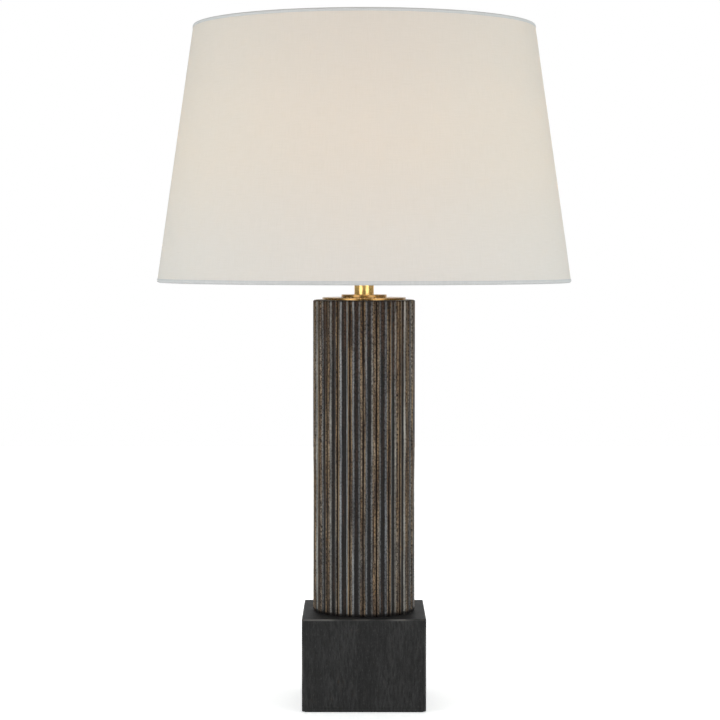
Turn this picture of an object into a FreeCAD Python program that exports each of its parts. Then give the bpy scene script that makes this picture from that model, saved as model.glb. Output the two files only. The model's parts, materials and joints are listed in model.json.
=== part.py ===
"""A column table lamp: a fluted column on a black wooden plinth, with brass plates and neck, a screw
lampholder with its bulb, a detachable harp, and a tapered linen shade.

Sizes are in millimetres and angles in degrees. +Z is up, -Y is the front, and the origin is on the
table, under the middle of the plinth. Heights are worked out upwards, each piece from the one that
carries it."""

import FreeCAD
import Part

import math
import os

from FreeCAD import Vector

# Clearances
SEAT_GAP = 0.1  # round a piece that is seated in another
RUN_GAP = 0.08  # round a pin or stud that turns
SLIDE_GAP = 0.25  # round a piece that slides on or lifts out

# Plinth: a mitred box of black-stained wood, about 5 inches square
PLINTH_WIDTH = 128.0
PLINTH_HEIGHT = 95.8
PLINTH_WALL = 12.0
PLINTH_CORNER_RADIUS = 1.8
PLINTH_EDGE_RADIUS = 0.9
FELT_THICKNESS = 1.0
FELT_INSET = 2.5
BOARD_THICKNESS = 5.0
BOARD_GAP = 0.3
CORNER_BLOCK_WIDTH = 14.0
CORNER_BLOCK_HEIGHT = 44.0
BOARD_SCREW_RADIUS = 1.7
BOARD_SCREW_HEAD_RADIUS = 3.4
BOARD_SCREW_HEAD_HEIGHT = 2.0
BOARD_SCREW_LENGTH = 22.0
WEIGHT_THICKNESS = 28.0
WEIGHT_GAP = 2.3
WEIGHT_CORNER_RADIUS = 8.0

# Cord outlet in the back of the plinth
OUTLET_HEIGHT = 22.0
OUTLET_BORE_RADIUS = 3.7
OUTLET_BARREL_RADIUS = 4.9
OUTLET_FLANGE_RADIUS = 7.5
OUTLET_FLANGE_THICKNESS = 2.0
OUTLET_TAIL = 5.0
OUTLET_NUT_FLATS = 14.3
OUTLET_NUT_HEIGHT = 3.5

# Threaded rod that clamps the lamp together, with its lower nut and washers
ROD_RADIUS = 4.85
ROD_BORE_RADIUS = 3.2
ROD_TAIL = 5.0
ROD_NUT_FLATS = 14.3
ROD_NUT_HEIGHT = 5.0
LOCK_WASHER_RADIUS = 8.5
LOCK_WASHER_THICKNESS = 1.4
LOCK_WASHER_SPLIT = 1.6
ROD_WASHER_RADIUS = 16.0
ROD_WASHER_THICKNESS = 2.0

# Column: hollow flutes with rounded lips, and a fine V joint between each flute and the next
COLUMN_RADIUS = 53.4
COLUMN_HEIGHT = 326.8
COLUMN_BORE_RADIUS = 9.0
COLUMN_END_RADIUS = 2.0
COLUMN_TURN = -1.1
FLUTE_COUNT = 24
FLUTE_DEPTH = 2.7
LIP_WIDTH = 1.9
LIP_RISE = 0.45
JOINT_WIDTH = 1.3
JOINT_DEPTH = 1.7
CHECK_RING_RADIUS = 16.0
CHECK_RING_THICKNESS = 4.0

# Brass plates and neck
CAP_PLATE_RADIUS = 43.8
CAP_PLATE_THICKNESS = 2.5
COLLAR_PLATE_RADIUS = 23.8
COLLAR_PLATE_THICKNESS = 3.0
PLATE_EDGE_RADIUS = 0.35
NECK_RADIUS = 10.3
NECK_WALL = 1.0
NECK_LENGTH = 31.0
SPIGOT_HEIGHT = 2.0
NECK_WASHER_THICKNESS = 2.0

# Harp saddle: a bent brass strip with a half-round post for each foot of the harp
SADDLE_WIDTH = 12.7
SADDLE_THICKNESS = 1.5
SADDLE_FLAT = 13.0  # from the axis to the first bend
SADDLE_BEND_RUN = 8.0
SADDLE_BEND_RISE = 6.0
POST_HEIGHT = 12.0
POST_WALL = 1.1
POST_GAP = 0.15
SADDLE_NUT_HEIGHT = 4.5

# Harp, its sliding ferrules and its swivelling stud
HARP_WIRE_RADIUS = 1.8
HARP_FOOT_X = 29.0
HARP_HALF_WIDTH = 54.0
HARP_HEIGHT = 220.4  # from its feet to the top of its eye
HARP_LEG_HEIGHT = 42.0
HARP_FLARE_HEIGHT = 40.0
HARP_SIDE_HEIGHT = 76.0
HARP_SHOULDER_X = 36.0
HARP_LOW_BEND_RADIUS = 28.0
HARP_SIDE_BEND_RADIUS = 40.0
HARP_SHOULDER_RADIUS = 18.0
EYE_RADIUS = 7.5
FERRULE_HEIGHT = 14.0
FERRULE_WALL = 0.8
FERRULE_FLARE = 0.35
FERRULE_TOP_THICKNESS = 1.2
STUD_RADIUS = 3.1
STUD_HEIGHT = 9.0  # above the hub that it carries
STUD_FLANGE_RADIUS = 10.0
STUD_FLANGE_THICKNESS = 1.6
STUD_RIVET_RADIUS = 5.0
STUD_RIVET_HEIGHT = 1.3
STUD_AXIAL_GAP = 0.1

# Shade: a tapered sheet of linen on a stiff backing, with rolled fabric edges over wire rings
SHADE_TOP_RADIUS = 177.4
SHADE_BOTTOM_RADIUS = 216.8
SHADE_HEIGHT = 266.4
SHADE_RECESS = 17.5  # from the underside of the hub up to the top of the shade
PANEL_THICKNESS = 1.0
TRIM_THICKNESS = 0.45
TRIM_OUTER_LEG = 4.6
TRIM_INNER_LEG = 3.4
RING_WIRE_RADIUS = 1.5
SEAM_WIDTH = 12.0
SEAM_THICKNESS = 0.4
SPIDER_ARM_COUNT = 3
SPIDER_ARM_RADIUS = 1.5
HUB_RADIUS = 14.0
HUB_THICKNESS = 1.6
HUB_HOLE_RADIUS = 5.3

# Finial
FINIAL_BASE_RADIUS = 8.0
FINIAL_BASE_HEIGHT = 2.4
FINIAL_NECK_RADIUS = 4.6
FINIAL_NECK_HEIGHT = 2.2
FINIAL_BALL_RADIUS = 8.5

# Bulb: a frosted pear shape with a 26 mm screw cap
BULB_CAP_RADIUS = 13.0
BULB_CAP_HEIGHT = 22.0
BULB_CAP_WALL = 0.5
BULB_INSULATOR_HEIGHT = 3.0
BULB_CONTACT_RADIUS = 4.8
BULB_CONTACT_HEIGHT = 1.4
BULB_RADIUS = 30.0
BULB_NECK_RADIUS = 12.2
BULB_GLASS_HEIGHT = 84.0
BULB_GLASS_WALL = 0.8
BULB_GLASS_OVERLAP = 6.0

# Lampholder, built outwards from the cap of the bulb
SCREW_SHELL_WALL = 0.6
SCREW_SHELL_HEIGHT = 24.0
SLEEVE_GAP = 0.7
SLEEVE_WALL = 0.7
SHELL_WALL = 0.7
SHELL_HEIGHT = 49.0
HOLDER_BODY_HEIGHT = 22.0
HOLDER_BODY_LIFT = 2.0
HOLDER_CAP_WALL = 0.8
HOLDER_CAP_RIM = 5.5
HOLDER_CAP_FLARE = 7.0
HOLDER_HUB_RADIUS = 7.0
HOLDER_HUB_HEIGHT = 8.0
SLEEVE_PROUD = 1.2
CENTRE_CONTACT_RADIUS = 4.0
CENTRE_CONTACT_HEIGHT = 2.6
TERMINAL_SCREW_RADIUS = 2.8
TERMINAL_SCREW_HEAD = 1.8
TERMINAL_SCREW_SHANK = 1.6
TERMINAL_SCREW_LENGTH = 5.0
SET_SCREW_RADIUS = 1.5
SET_SCREW_SLOT = 0.6

# Switch knob, on the front of the lampholder
STEM_RADIUS = 2.3
STEM_DEPTH = 7.0  # inside the body of the holder
STEM_BOSS_RADIUS = 4.2
STEM_BOSS_PROUD = 1.0
KNOB_RADIUS = 6.6
KNOB_LENGTH = 15.0
KNOB_OFFSET = 4.0  # from the boss to the knob
KNOB_RIBS = 12
KNOB_RIB_RADIUS = 1.1
KNOB_BORE_DEPTH = 10.0

# Heights, from the table upwards
PLINTH_BOTTOM_Z = FELT_THICKNESS
PLINTH_TOP_Z = PLINTH_BOTTOM_Z + PLINTH_HEIGHT
CAVITY_TOP_Z = PLINTH_TOP_Z - PLINTH_WALL
BOARD_TOP_Z = PLINTH_BOTTOM_Z + BOARD_THICKNESS
WEIGHT_BOTTOM_Z = CAVITY_TOP_Z - WEIGHT_THICKNESS
ROD_WASHER_Z = WEIGHT_BOTTOM_Z - ROD_WASHER_THICKNESS
ROD_LOCK_WASHER_Z = ROD_WASHER_Z - LOCK_WASHER_THICKNESS
ROD_NUT_Z = ROD_LOCK_WASHER_Z - ROD_NUT_HEIGHT
ROD_BOTTOM_Z = ROD_NUT_Z - ROD_TAIL
COLUMN_TOP_Z = PLINTH_TOP_Z + COLUMN_HEIGHT
CAP_PLATE_TOP_Z = COLUMN_TOP_Z + CAP_PLATE_THICKNESS
COLLAR_TOP_Z = CAP_PLATE_TOP_Z + COLLAR_PLATE_THICKNESS
NECK_TOP_Z = COLLAR_TOP_Z + NECK_LENGTH
SADDLE_Z = NECK_TOP_Z + NECK_WASHER_THICKNESS
SADDLE_TOP_Z = SADDLE_Z + SADDLE_THICKNESS
HARP_FOOT_Z = SADDLE_TOP_Z + SADDLE_BEND_RISE
SADDLE_NUT_Z = SADDLE_TOP_Z + LOCK_WASHER_THICKNESS
HOLDER_HUB_Z = SADDLE_NUT_Z + SADDLE_NUT_HEIGHT
HOLDER_FLARE_Z = HOLDER_HUB_Z + HOLDER_HUB_HEIGHT
HOLDER_RIM_Z = HOLDER_FLARE_Z + HOLDER_CAP_FLARE
SHELL_Z = HOLDER_RIM_Z + SEAT_GAP
HOLDER_BODY_Z = SHELL_Z + HOLDER_BODY_LIFT
SCREW_SHELL_Z = HOLDER_BODY_Z + HOLDER_BODY_HEIGHT
SHELL_TOP_Z = SHELL_Z + SHELL_HEIGHT
STEM_Z = HOLDER_BODY_Z + HOLDER_BODY_HEIGHT / 2
ROD_TOP_Z = HOLDER_FLARE_Z - SEAT_GAP
BULB_CONTACT_Z = SCREW_SHELL_Z + CENTRE_CONTACT_HEIGHT + SEAT_GAP
BULB_INSULATOR_Z = BULB_CONTACT_Z + BULB_CONTACT_HEIGHT
BULB_CAP_Z = BULB_INSULATOR_Z + BULB_INSULATOR_HEIGHT
BULB_CAP_TOP_Z = BULB_CAP_Z + BULB_CAP_HEIGHT
BULB_GLASS_Z = BULB_CAP_TOP_Z - BULB_GLASS_OVERLAP
EYE_TOP_Z = HARP_FOOT_Z + HARP_HEIGHT
EYE_BOTTOM_Z = EYE_TOP_Z - 2 * HARP_WIRE_RADIUS
STUD_FLANGE_Z = EYE_TOP_Z + STUD_AXIAL_GAP
HUB_Z = STUD_FLANGE_Z + STUD_FLANGE_THICKNESS
HUB_TOP_Z = HUB_Z + HUB_THICKNESS
SHADE_TOP_Z = HUB_Z + SHADE_RECESS

# Radii of pieces that fit round one another
ROD_HOLE_RADIUS = ROD_RADIUS + SEAT_GAP
CAVITY_WIDTH = PLINTH_WIDTH - 2 * PLINTH_WALL
NECK_BORE_RADIUS = NECK_RADIUS - NECK_WALL
POST_BORE_RADIUS = HARP_WIRE_RADIUS + POST_GAP
POST_RADIUS = POST_BORE_RADIUS + POST_WALL
FERRULE_BORE_RADIUS = POST_RADIUS + SLIDE_GAP
FERRULE_RADIUS = FERRULE_BORE_RADIUS + FERRULE_WALL
SADDLE_END_X = HARP_FOOT_X + FERRULE_RADIUS + FERRULE_FLARE
SCREW_SHELL_BORE_RADIUS = BULB_CAP_RADIUS + SLIDE_GAP
SCREW_SHELL_RADIUS = SCREW_SHELL_BORE_RADIUS + SCREW_SHELL_WALL
SLEEVE_BORE_RADIUS = SCREW_SHELL_RADIUS + SLEEVE_GAP
SLEEVE_RADIUS = SLEEVE_BORE_RADIUS + SLEEVE_WALL
SHELL_BORE_RADIUS = SLEEVE_RADIUS + SEAT_GAP
SHELL_RADIUS = SHELL_BORE_RADIUS + SHELL_WALL
HOLDER_CAP_BORE_RADIUS = SHELL_RADIUS + SEAT_GAP
HOLDER_CAP_RADIUS = HOLDER_CAP_BORE_RADIUS + HOLDER_CAP_WALL
HOLDER_BODY_RADIUS = SLEEVE_BORE_RADIUS - SEAT_GAP
BOSS_FACE_Y = -(SHELL_RADIUS + STEM_BOSS_PROUD)
KNOB_NEAR_Y = BOSS_FACE_Y - KNOB_OFFSET
KNOB_BORE_END_Y = KNOB_NEAR_Y - KNOB_BORE_DEPTH
STEM_INNER_Y = STEM_DEPTH - HOLDER_BODY_RADIUS
SHADE_LEAN = math.atan((SHADE_BOTTOM_RADIUS - SHADE_TOP_RADIUS) / SHADE_HEIGHT)
PANEL_SLANT = SHADE_HEIGHT / math.cos(SHADE_LEAN) - 2 * TRIM_THICKNESS

ORIGIN = Vector(0, 0, 0)
UP = Vector(0, 0, 1)
FRONT = Vector(0, -1, 0)


class Outline:
    """A closed outline drawn point by point in the XZ plane, as distance from the axis and height."""

    def __init__(self, x, z):
        self.start = self.pen = Vector(x, 0, z)
        self.edges = []

    def line(self, x, z):
        end = Vector(x, 0, z)
        self.edges.append(Part.LineSegment(self.pen, end).toShape())
        self.pen = end
        return self

    def arc(self, middle_x, middle_z, x, z):
        end = Vector(x, 0, z)
        self.edges.append(Part.Arc(self.pen, Vector(middle_x, 0, middle_z), end).toShape())
        self.pen = end
        return self

    def face(self):
        if self.pen.distanceToPoint(self.start) > 1e-7:
            self.line(self.start.x, self.start.z)
        return Part.Face(Part.Wire(self.edges))

    def turned(self, degrees=360.0):
        return outward(self.face().revolve(ORIGIN, UP, degrees))

    def extruded(self, width):
        """The outline as a bar of that width, half of it each side of the XZ plane."""
        face = self.face()
        face.translate(Vector(0, -width / 2, 0))
        return outward(face.extrude(Vector(0, width, 0)))


def outward(shape):
    """The shape with its faces pointing outwards."""
    if shape.Volume < 0:
        shape.reverse()
    return shape


def polar(radius, angle, z=0.0):
    """The point at that distance and angle, in radians, round the axis."""
    return Vector(radius * math.cos(angle), radius * math.sin(angle), z)


def disc(radius, z, height):
    return Part.makeCylinder(radius, height, Vector(0, 0, z))


def ring(radius, bore_radius, z, height):
    return disc(radius, z, height).cut(disc(bore_radius, z - 1, height + 2))


def centred_box(width, z, height):
    return Part.makeBox(width, width, height, Vector(-width / 2, -width / 2, z))


def cylinder_along(radius, start, direction, length):
    return Part.makeCylinder(radius, length, start, direction)


def turned_pattern(shape, count, first_angle=0.0):
    """Copies of the shape, evenly spaced round the axis."""
    copies = []
    for k in range(count):
        copy = shape.copy()
        copy.rotate(ORIGIN, UP, first_angle + k * 360.0 / count)
        copies.append(copy)
    return copies


def mirrored_x(shape):
    return shape.mirror(ORIGIN, Vector(1, 0, 0))


def hex_nut(flats, bore_radius, z, height):
    """A hexagon nut whose corners are turned down to a chamfer at both faces."""
    corner_radius = flats / math.sqrt(3)
    corners = [polar(corner_radius, math.radians(60 * k), z) for k in range(7)]
    blank = Part.Face(Part.makePolygon(corners)).extrude(Vector(0, 0, height))
    chamfer = (corner_radius - flats / 2) * 0.6
    turned = (
        Outline(0, z)
        .line(flats / 2, z)
        .line(corner_radius, z + chamfer)
        .line(corner_radius, z + height - chamfer)
        .line(flats / 2, z + height)
        .line(0, z + height)
        .turned()
    )
    return blank.common(turned).cut(disc(bore_radius, z - 1, height + 2))


def lock_washer(z):
    """A spring washer, split on one side."""
    washer = ring(LOCK_WASHER_RADIUS, ROD_HOLE_RADIUS, z, LOCK_WASHER_THICKNESS)
    split = Part.makeBox(
        LOCK_WASHER_RADIUS + 1,
        LOCK_WASHER_SPLIT,
        LOCK_WASHER_THICKNESS + 2,
        Vector(0, -LOCK_WASHER_SPLIT / 2, z - 1),
    )
    return washer.cut(split)


def rounded_path(corners, radii):
    """Straight runs joined by tangent arcs, with one radius for each corner between the ends."""
    edges, pen = [], corners[0]
    for before, corner, after, radius in zip(corners, corners[1:], corners[2:], radii):
        back = (before - corner).normalize()
        ahead = (after - corner).normalize()
        half_turn = (math.pi - back.getAngle(ahead)) / 2
        start = corner + back * radius * math.tan(half_turn)
        end = corner + ahead * radius * math.tan(half_turn)
        inward = (back + ahead).normalize()
        middle = corner + inward * radius * (1 / math.cos(half_turn) - 1)
        edges.append(Part.LineSegment(pen, start).toShape())
        edges.append(Part.Arc(start, middle, end).toShape())
        pen = end
    edges.append(Part.LineSegment(pen, corners[-1]).toShape())
    return Part.Wire(edges)


def swept_wire(path, radius):
    """A round bar of that radius along the path."""
    first = path.Edges[0]
    start = first.valueAt(first.FirstParameter)
    direction = first.tangentAt(first.FirstParameter)
    profile = Part.Wire(Part.makeCircle(radius, start, direction))
    return outward(path.makePipeShell([profile], True, False))


# Plinth


def plinth_block():
    """The outside of the plinth, with eased corners and edges."""
    block = centred_box(PLINTH_WIDTH, PLINTH_BOTTOM_Z, PLINTH_HEIGHT)
    upright = [e for e in block.Edges if abs(e.tangentAt(e.FirstParameter).z) > 0.9]
    block = block.makeFillet(PLINTH_CORNER_RADIUS, upright)
    rims = [
        e
        for e in block.Edges
        if e.BoundBox.ZLength < 1e-6 and e.BoundBox.ZMin in rim_heights(block)
    ]
    return block.makeFillet(PLINTH_EDGE_RADIUS, rims)


def rim_heights(block):
    return (block.BoundBox.ZMin, block.BoundBox.ZMax)


def square_frustum(low_width, low_z, high_width, high_z):
    squares = []
    for width, z in ((low_width, low_z), (high_width, high_z)):
        half = width / 2
        corners = [(-half, -half), (half, -half), (half, half), (-half, half), (-half, -half)]
        squares.append(Part.makePolygon([Vector(x, y, z) for x, y in corners]))
    return outward(Part.makeLoft(squares, True, True))


def mitre_wedge(reach):
    """A triangular prism that holds the front wall, up to the mitres at its two corners."""
    corners = [(0, 0), (-reach, -reach), (reach, -reach), (0, 0)]
    triangle = Part.Face(Part.makePolygon([Vector(x, y, 0) for x, y in corners]))
    return triangle.extrude(Vector(0, 0, PLINTH_TOP_Z + 1))


def plinth_panels():
    """The top panel and the front, right, back and left walls, mitred to each other."""
    margin = 1.0
    lid = square_frustum(
        CAVITY_WIDTH, CAVITY_TOP_Z, PLINTH_WIDTH + 2 * margin, PLINTH_TOP_Z + margin
    )
    block = plinth_block()
    top = block.common(lid).cut(disc(ROD_HOLE_RADIUS, CAVITY_TOP_Z - 1, PLINTH_WALL + 2))
    cavity = centred_box(CAVITY_WIDTH, PLINTH_BOTTOM_Z - 1, CAVITY_TOP_Z - PLINTH_BOTTOM_Z + 1)
    walls = block.cut(lid).cut(cavity)
    wedges = turned_pattern(mitre_wedge(PLINTH_WIDTH), 4)
    front, right, back, left = [walls.common(wedge) for wedge in wedges]
    hole = cylinder_along(
        OUTLET_BARREL_RADIUS + SEAT_GAP, Vector(0, 0, OUTLET_HEIGHT), -FRONT, PLINTH_WIDTH
    )
    return top, front, [right, left], back.cut(hole)


def felt_pad():
    width = PLINTH_WIDTH - 2 * FELT_INSET
    pad = centred_box(width, 0, FELT_THICKNESS)
    upright = [e for e in pad.Edges if abs(e.tangentAt(e.FirstParameter).z) > 0.9]
    return pad.makeFillet(PLINTH_CORNER_RADIUS, upright)


def corner_block_centre():
    """How far the middle of a corner block is from the axis, along X and along Y."""
    return CAVITY_WIDTH / 2 - CORNER_BLOCK_WIDTH / 2


def board_screw(gap=0.0):
    """A countersunk screw, head down, in the front right corner. With a gap, the hole that it needs."""
    middle = corner_block_centre()
    head_z = PLINTH_BOTTOM_Z
    shank_z = head_z + BOARD_SCREW_HEAD_HEIGHT
    screw = (
        Outline(0, head_z)
        .line(BOARD_SCREW_HEAD_RADIUS + gap, head_z)
        .line(BOARD_SCREW_RADIUS + gap, shank_z)
        .line(BOARD_SCREW_RADIUS + gap, head_z + BOARD_SCREW_LENGTH - BOARD_SCREW_RADIUS)
        .line(0, head_z + BOARD_SCREW_LENGTH + gap)
        .turned()
    )
    screw.translate(Vector(middle, -middle, 0))
    return screw


def corner_block():
    """A glue block in the front right corner of the plinth, which takes one screw of the board."""
    middle = corner_block_centre()
    block = centred_box(CORNER_BLOCK_WIDTH, BOARD_TOP_Z, CORNER_BLOCK_HEIGHT)
    block.translate(Vector(middle, -middle, 0))
    return block.cut(board_screw(SEAT_GAP))


def base_board():
    board = centred_box(CAVITY_WIDTH - 2 * BOARD_GAP, PLINTH_BOTTOM_Z, BOARD_THICKNESS)
    for hole in turned_pattern(board_screw(SEAT_GAP), 4):
        board = board.cut(hole)
    return board


def base_weight():
    """The iron slab that keeps the lamp upright, clamped under the top panel."""
    width = CAVITY_WIDTH - 2 * WEIGHT_GAP
    slab = centred_box(width, WEIGHT_BOTTOM_Z, WEIGHT_THICKNESS)
    upright = [e for e in slab.Edges if abs(e.tangentAt(e.FirstParameter).z) > 0.9]
    slab = slab.makeFillet(WEIGHT_CORNER_RADIUS, upright)
    return slab.cut(disc(ROD_HOLE_RADIUS, WEIGHT_BOTTOM_Z - 1, WEIGHT_THICKNESS + 2))


def laid_back(shape):
    """The shape, made upright from the origin, laid to point backwards from inside the back wall."""
    shape.rotate(ORIGIN, Vector(1, 0, 0), -90)
    shape.translate(Vector(0, CAVITY_WIDTH / 2, OUTLET_HEIGHT))
    return shape


def outlet_bushing():
    """The flanged bush that the cord leaves through. It is drawn upright, from inside to outside."""
    wall_top = PLINTH_WALL
    flange_top = wall_top + OUTLET_FLANGE_THICKNESS
    lip = OUTLET_FLANGE_THICKNESS / 2
    return laid_back(
        Outline(OUTLET_BORE_RADIUS, -OUTLET_TAIL)
        .line(OUTLET_BARREL_RADIUS, -OUTLET_TAIL)
        .line(OUTLET_BARREL_RADIUS, wall_top)
        .line(OUTLET_FLANGE_RADIUS, wall_top)
        .line(OUTLET_FLANGE_RADIUS, flange_top - lip)
        .line(OUTLET_FLANGE_RADIUS - lip, flange_top)
        .line(OUTLET_BORE_RADIUS, flange_top)
        .turned()
    )


def outlet_nut():
    bore = OUTLET_BARREL_RADIUS + SEAT_GAP
    return laid_back(hex_nut(OUTLET_NUT_FLATS, bore, -OUTLET_NUT_HEIGHT, OUTLET_NUT_HEIGHT))


# Column


def flute_edges(middle_angle):
    """One hollow flute with a rounded lip on each side and half a V joint beyond each lip."""
    half_pitch = math.pi / FLUTE_COUNT
    joint_half = JOINT_WIDTH / 2 / COLUMN_RADIUS
    lip = LIP_WIDTH / COLUMN_RADIUS
    lip_edge_radius = COLUMN_RADIUS - LIP_RISE

    def point(radius, from_middle):
        return polar(radius, middle_angle + from_middle, PLINTH_TOP_Z)

    def lip_arc(near, side):
        ends = (side * near, side * (near - lip)) if side > 0 else (side * (near - lip), side * near)
        first, last = sorted(ends)
        crest = (first + last) / 2
        return Part.Arc(
            point(lip_edge_radius, first), point(COLUMN_RADIUS, crest), point(lip_edge_radius, last)
        )

    lip_outer = half_pitch - joint_half
    lip_inner = lip_outer - lip
    joint_radius = COLUMN_RADIUS - JOINT_DEPTH
    left_joint = Part.LineSegment(point(joint_radius, -half_pitch), point(lip_edge_radius, -lip_outer))
    right_joint = Part.LineSegment(point(lip_edge_radius, lip_outer), point(joint_radius, half_pitch))
    hollow = Part.Arc(
        point(lip_edge_radius, -lip_inner),
        point(COLUMN_RADIUS - FLUTE_DEPTH, 0),
        point(lip_edge_radius, lip_inner),
    )
    curves = [left_joint, lip_arc(lip_outer, -1), hollow, lip_arc(lip_outer, 1), right_joint]
    return [curve.toShape() for curve in curves]


def column():
    pitch = 2 * math.pi / FLUTE_COUNT
    first = -math.pi / 2 + math.radians(COLUMN_TURN) + pitch / 2
    edges = []
    for k in range(FLUTE_COUNT):
        edges += flute_edges(first + k * pitch)
    fluted = Part.Face(Part.Wire(edges)).extrude(Vector(0, 0, COLUMN_HEIGHT))
    envelope = disc(COLUMN_RADIUS, PLINTH_TOP_Z, COLUMN_HEIGHT)
    rims = [e for e in envelope.Edges if e.BoundBox.ZLength < 1e-6]
    fluted = fluted.common(envelope.makeFillet(COLUMN_END_RADIUS, rims))
    fluted = fluted.cut(disc(COLUMN_BORE_RADIUS, PLINTH_TOP_Z - 1, COLUMN_HEIGHT + 2))
    for seat_z in (PLINTH_TOP_Z, COLUMN_TOP_Z - CHECK_RING_THICKNESS):
        fluted = fluted.cut(disc(CHECK_RING_RADIUS + SEAT_GAP, seat_z, CHECK_RING_THICKNESS))
    return fluted


# Plates and neck


def plate(radius, z, thickness):
    """A turned disc with eased rims and a hole for the rod."""
    blank = disc(radius, z, thickness)
    rims = [e for e in blank.Edges if e.BoundBox.ZLength < 1e-6]
    blank = blank.makeFillet(PLATE_EDGE_RADIUS, rims)
    return blank.cut(disc(ROD_HOLE_RADIUS, z - 1, thickness + 2))


def collar_plate():
    """The upper plate, with a spigot that centres the neck tube."""
    spigot = ring(NECK_BORE_RADIUS - SEAT_GAP, ROD_HOLE_RADIUS, COLLAR_TOP_Z, SPIGOT_HEIGHT)
    return plate(COLLAR_PLATE_RADIUS, CAP_PLATE_TOP_Z, COLLAR_PLATE_THICKNESS).fuse(spigot)


def neck_washer():
    """The disc that closes the neck tube, with a spigot inside it."""
    spigot_z = NECK_TOP_Z - SPIGOT_HEIGHT
    spigot = ring(NECK_BORE_RADIUS - SEAT_GAP, ROD_HOLE_RADIUS, spigot_z, SPIGOT_HEIGHT)
    return plate(NECK_RADIUS, NECK_TOP_Z, NECK_WASHER_THICKNESS).fuse(spigot)


# Harp


def saddle_strip():
    """The bent strip: flat under the lampholder, and stepped up to a pad under each foot."""
    bend = math.atan2(SADDLE_BEND_RISE, SADDLE_BEND_RUN)
    shift = SADDLE_THICKNESS * math.tan(bend / 2)
    ramp_end = SADDLE_FLAT + SADDLE_BEND_RUN
    pad_z = SADDLE_Z + SADDLE_BEND_RISE
    half = (
        Outline(0, SADDLE_Z)
        .line(SADDLE_FLAT, SADDLE_Z)
        .line(ramp_end, pad_z)
        .line(SADDLE_END_X, pad_z)
        .line(SADDLE_END_X, pad_z + SADDLE_THICKNESS)
        .line(ramp_end - shift, pad_z + SADDLE_THICKNESS)
        .line(SADDLE_FLAT - shift, SADDLE_TOP_Z)
        .line(0, SADDLE_TOP_Z)
        .extruded(SADDLE_WIDTH)
    )
    return half.fuse(mirrored_x(half)).removeSplitter()


def harp_saddle():
    end_centre = SADDLE_END_X - SADDLE_WIDTH / 2
    height = HARP_FOOT_Z - SADDLE_Z + 2
    plan = Part.makeBox(
        2 * end_centre, SADDLE_WIDTH, height, Vector(-end_centre, -SADDLE_WIDTH / 2, SADDLE_Z - 1)
    )
    for side in (-1, 1):
        round_end = disc(SADDLE_WIDTH / 2, SADDLE_Z - 1, height)
        round_end.translate(Vector(side * end_centre, 0, 0))
        plan = plan.fuse(round_end)
    strip = saddle_strip().common(plan)
    post = ring(POST_RADIUS, POST_BORE_RADIUS, HARP_FOOT_Z, POST_HEIGHT)
    inner_half = Part.makeBox(
        POST_RADIUS + 1, 2 * POST_RADIUS, POST_HEIGHT, Vector(-POST_RADIUS - 1, -POST_RADIUS, HARP_FOOT_Z)
    )
    post = post.common(inner_half)
    post.translate(Vector(HARP_FOOT_X, 0, 0))
    saddle = strip.fuse([post, mirrored_x(post)])
    return saddle.cut(disc(ROD_HOLE_RADIUS, SADDLE_Z - 1, SADDLE_THICKNESS + 2)).removeSplitter()


def harp():
    """The wire loop that goes round the bulb, with the eye at its top for the stud."""
    wire_top_z = EYE_TOP_Z - HARP_WIRE_RADIUS
    bend_z = HARP_FOOT_Z + HARP_LEG_HEIGHT
    side_z = bend_z + HARP_FLARE_HEIGHT
    right = [
        Vector(HARP_FOOT_X, 0, HARP_FOOT_Z + SEAT_GAP),
        Vector(HARP_FOOT_X, 0, bend_z),
        Vector(HARP_HALF_WIDTH, 0, side_z),
        Vector(HARP_HALF_WIDTH, 0, side_z + HARP_SIDE_HEIGHT),
        Vector(HARP_SHOULDER_X, 0, wire_top_z),
    ]
    left = [Vector(-p.x, 0, p.z) for p in reversed(right)]
    radii = [
        HARP_LOW_BEND_RADIUS,
        HARP_LOW_BEND_RADIUS,
        HARP_SIDE_BEND_RADIUS,
        HARP_SHOULDER_RADIUS,
    ]
    loop = swept_wire(rounded_path(right + left, radii + radii[::-1]), HARP_WIRE_RADIUS)
    eye = disc(EYE_RADIUS, EYE_BOTTOM_Z, 2 * HARP_WIRE_RADIUS)
    hole = disc(STUD_RADIUS + RUN_GAP, EYE_BOTTOM_Z - 1, 2 * HARP_WIRE_RADIUS + 2)
    return loop.fuse(eye).cut(hole)


def ferrule():
    """The sleeve that locks a foot of the harp to its post: flared below and closed in above."""
    top_z = HARP_FOOT_Z + FERRULE_HEIGHT
    inside_top_z = top_z - FERRULE_TOP_THICKNESS
    wire_hole_radius = HARP_WIRE_RADIUS + SLIDE_GAP
    sleeve = (
        Outline(FERRULE_BORE_RADIUS, HARP_FOOT_Z)
        .line(FERRULE_RADIUS + FERRULE_FLARE, HARP_FOOT_Z)
        .line(FERRULE_RADIUS, HARP_FOOT_Z + FERRULE_HEIGHT / 3)
        .line(FERRULE_RADIUS, inside_top_z)
        .line(FERRULE_RADIUS - FERRULE_TOP_THICKNESS, top_z)
        .line(wire_hole_radius, top_z)
        .line(wire_hole_radius, inside_top_z)
        .line(FERRULE_BORE_RADIUS, inside_top_z)
        .turned()
    )
    sleeve.translate(Vector(HARP_FOOT_X, 0, 0))
    return sleeve


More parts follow.
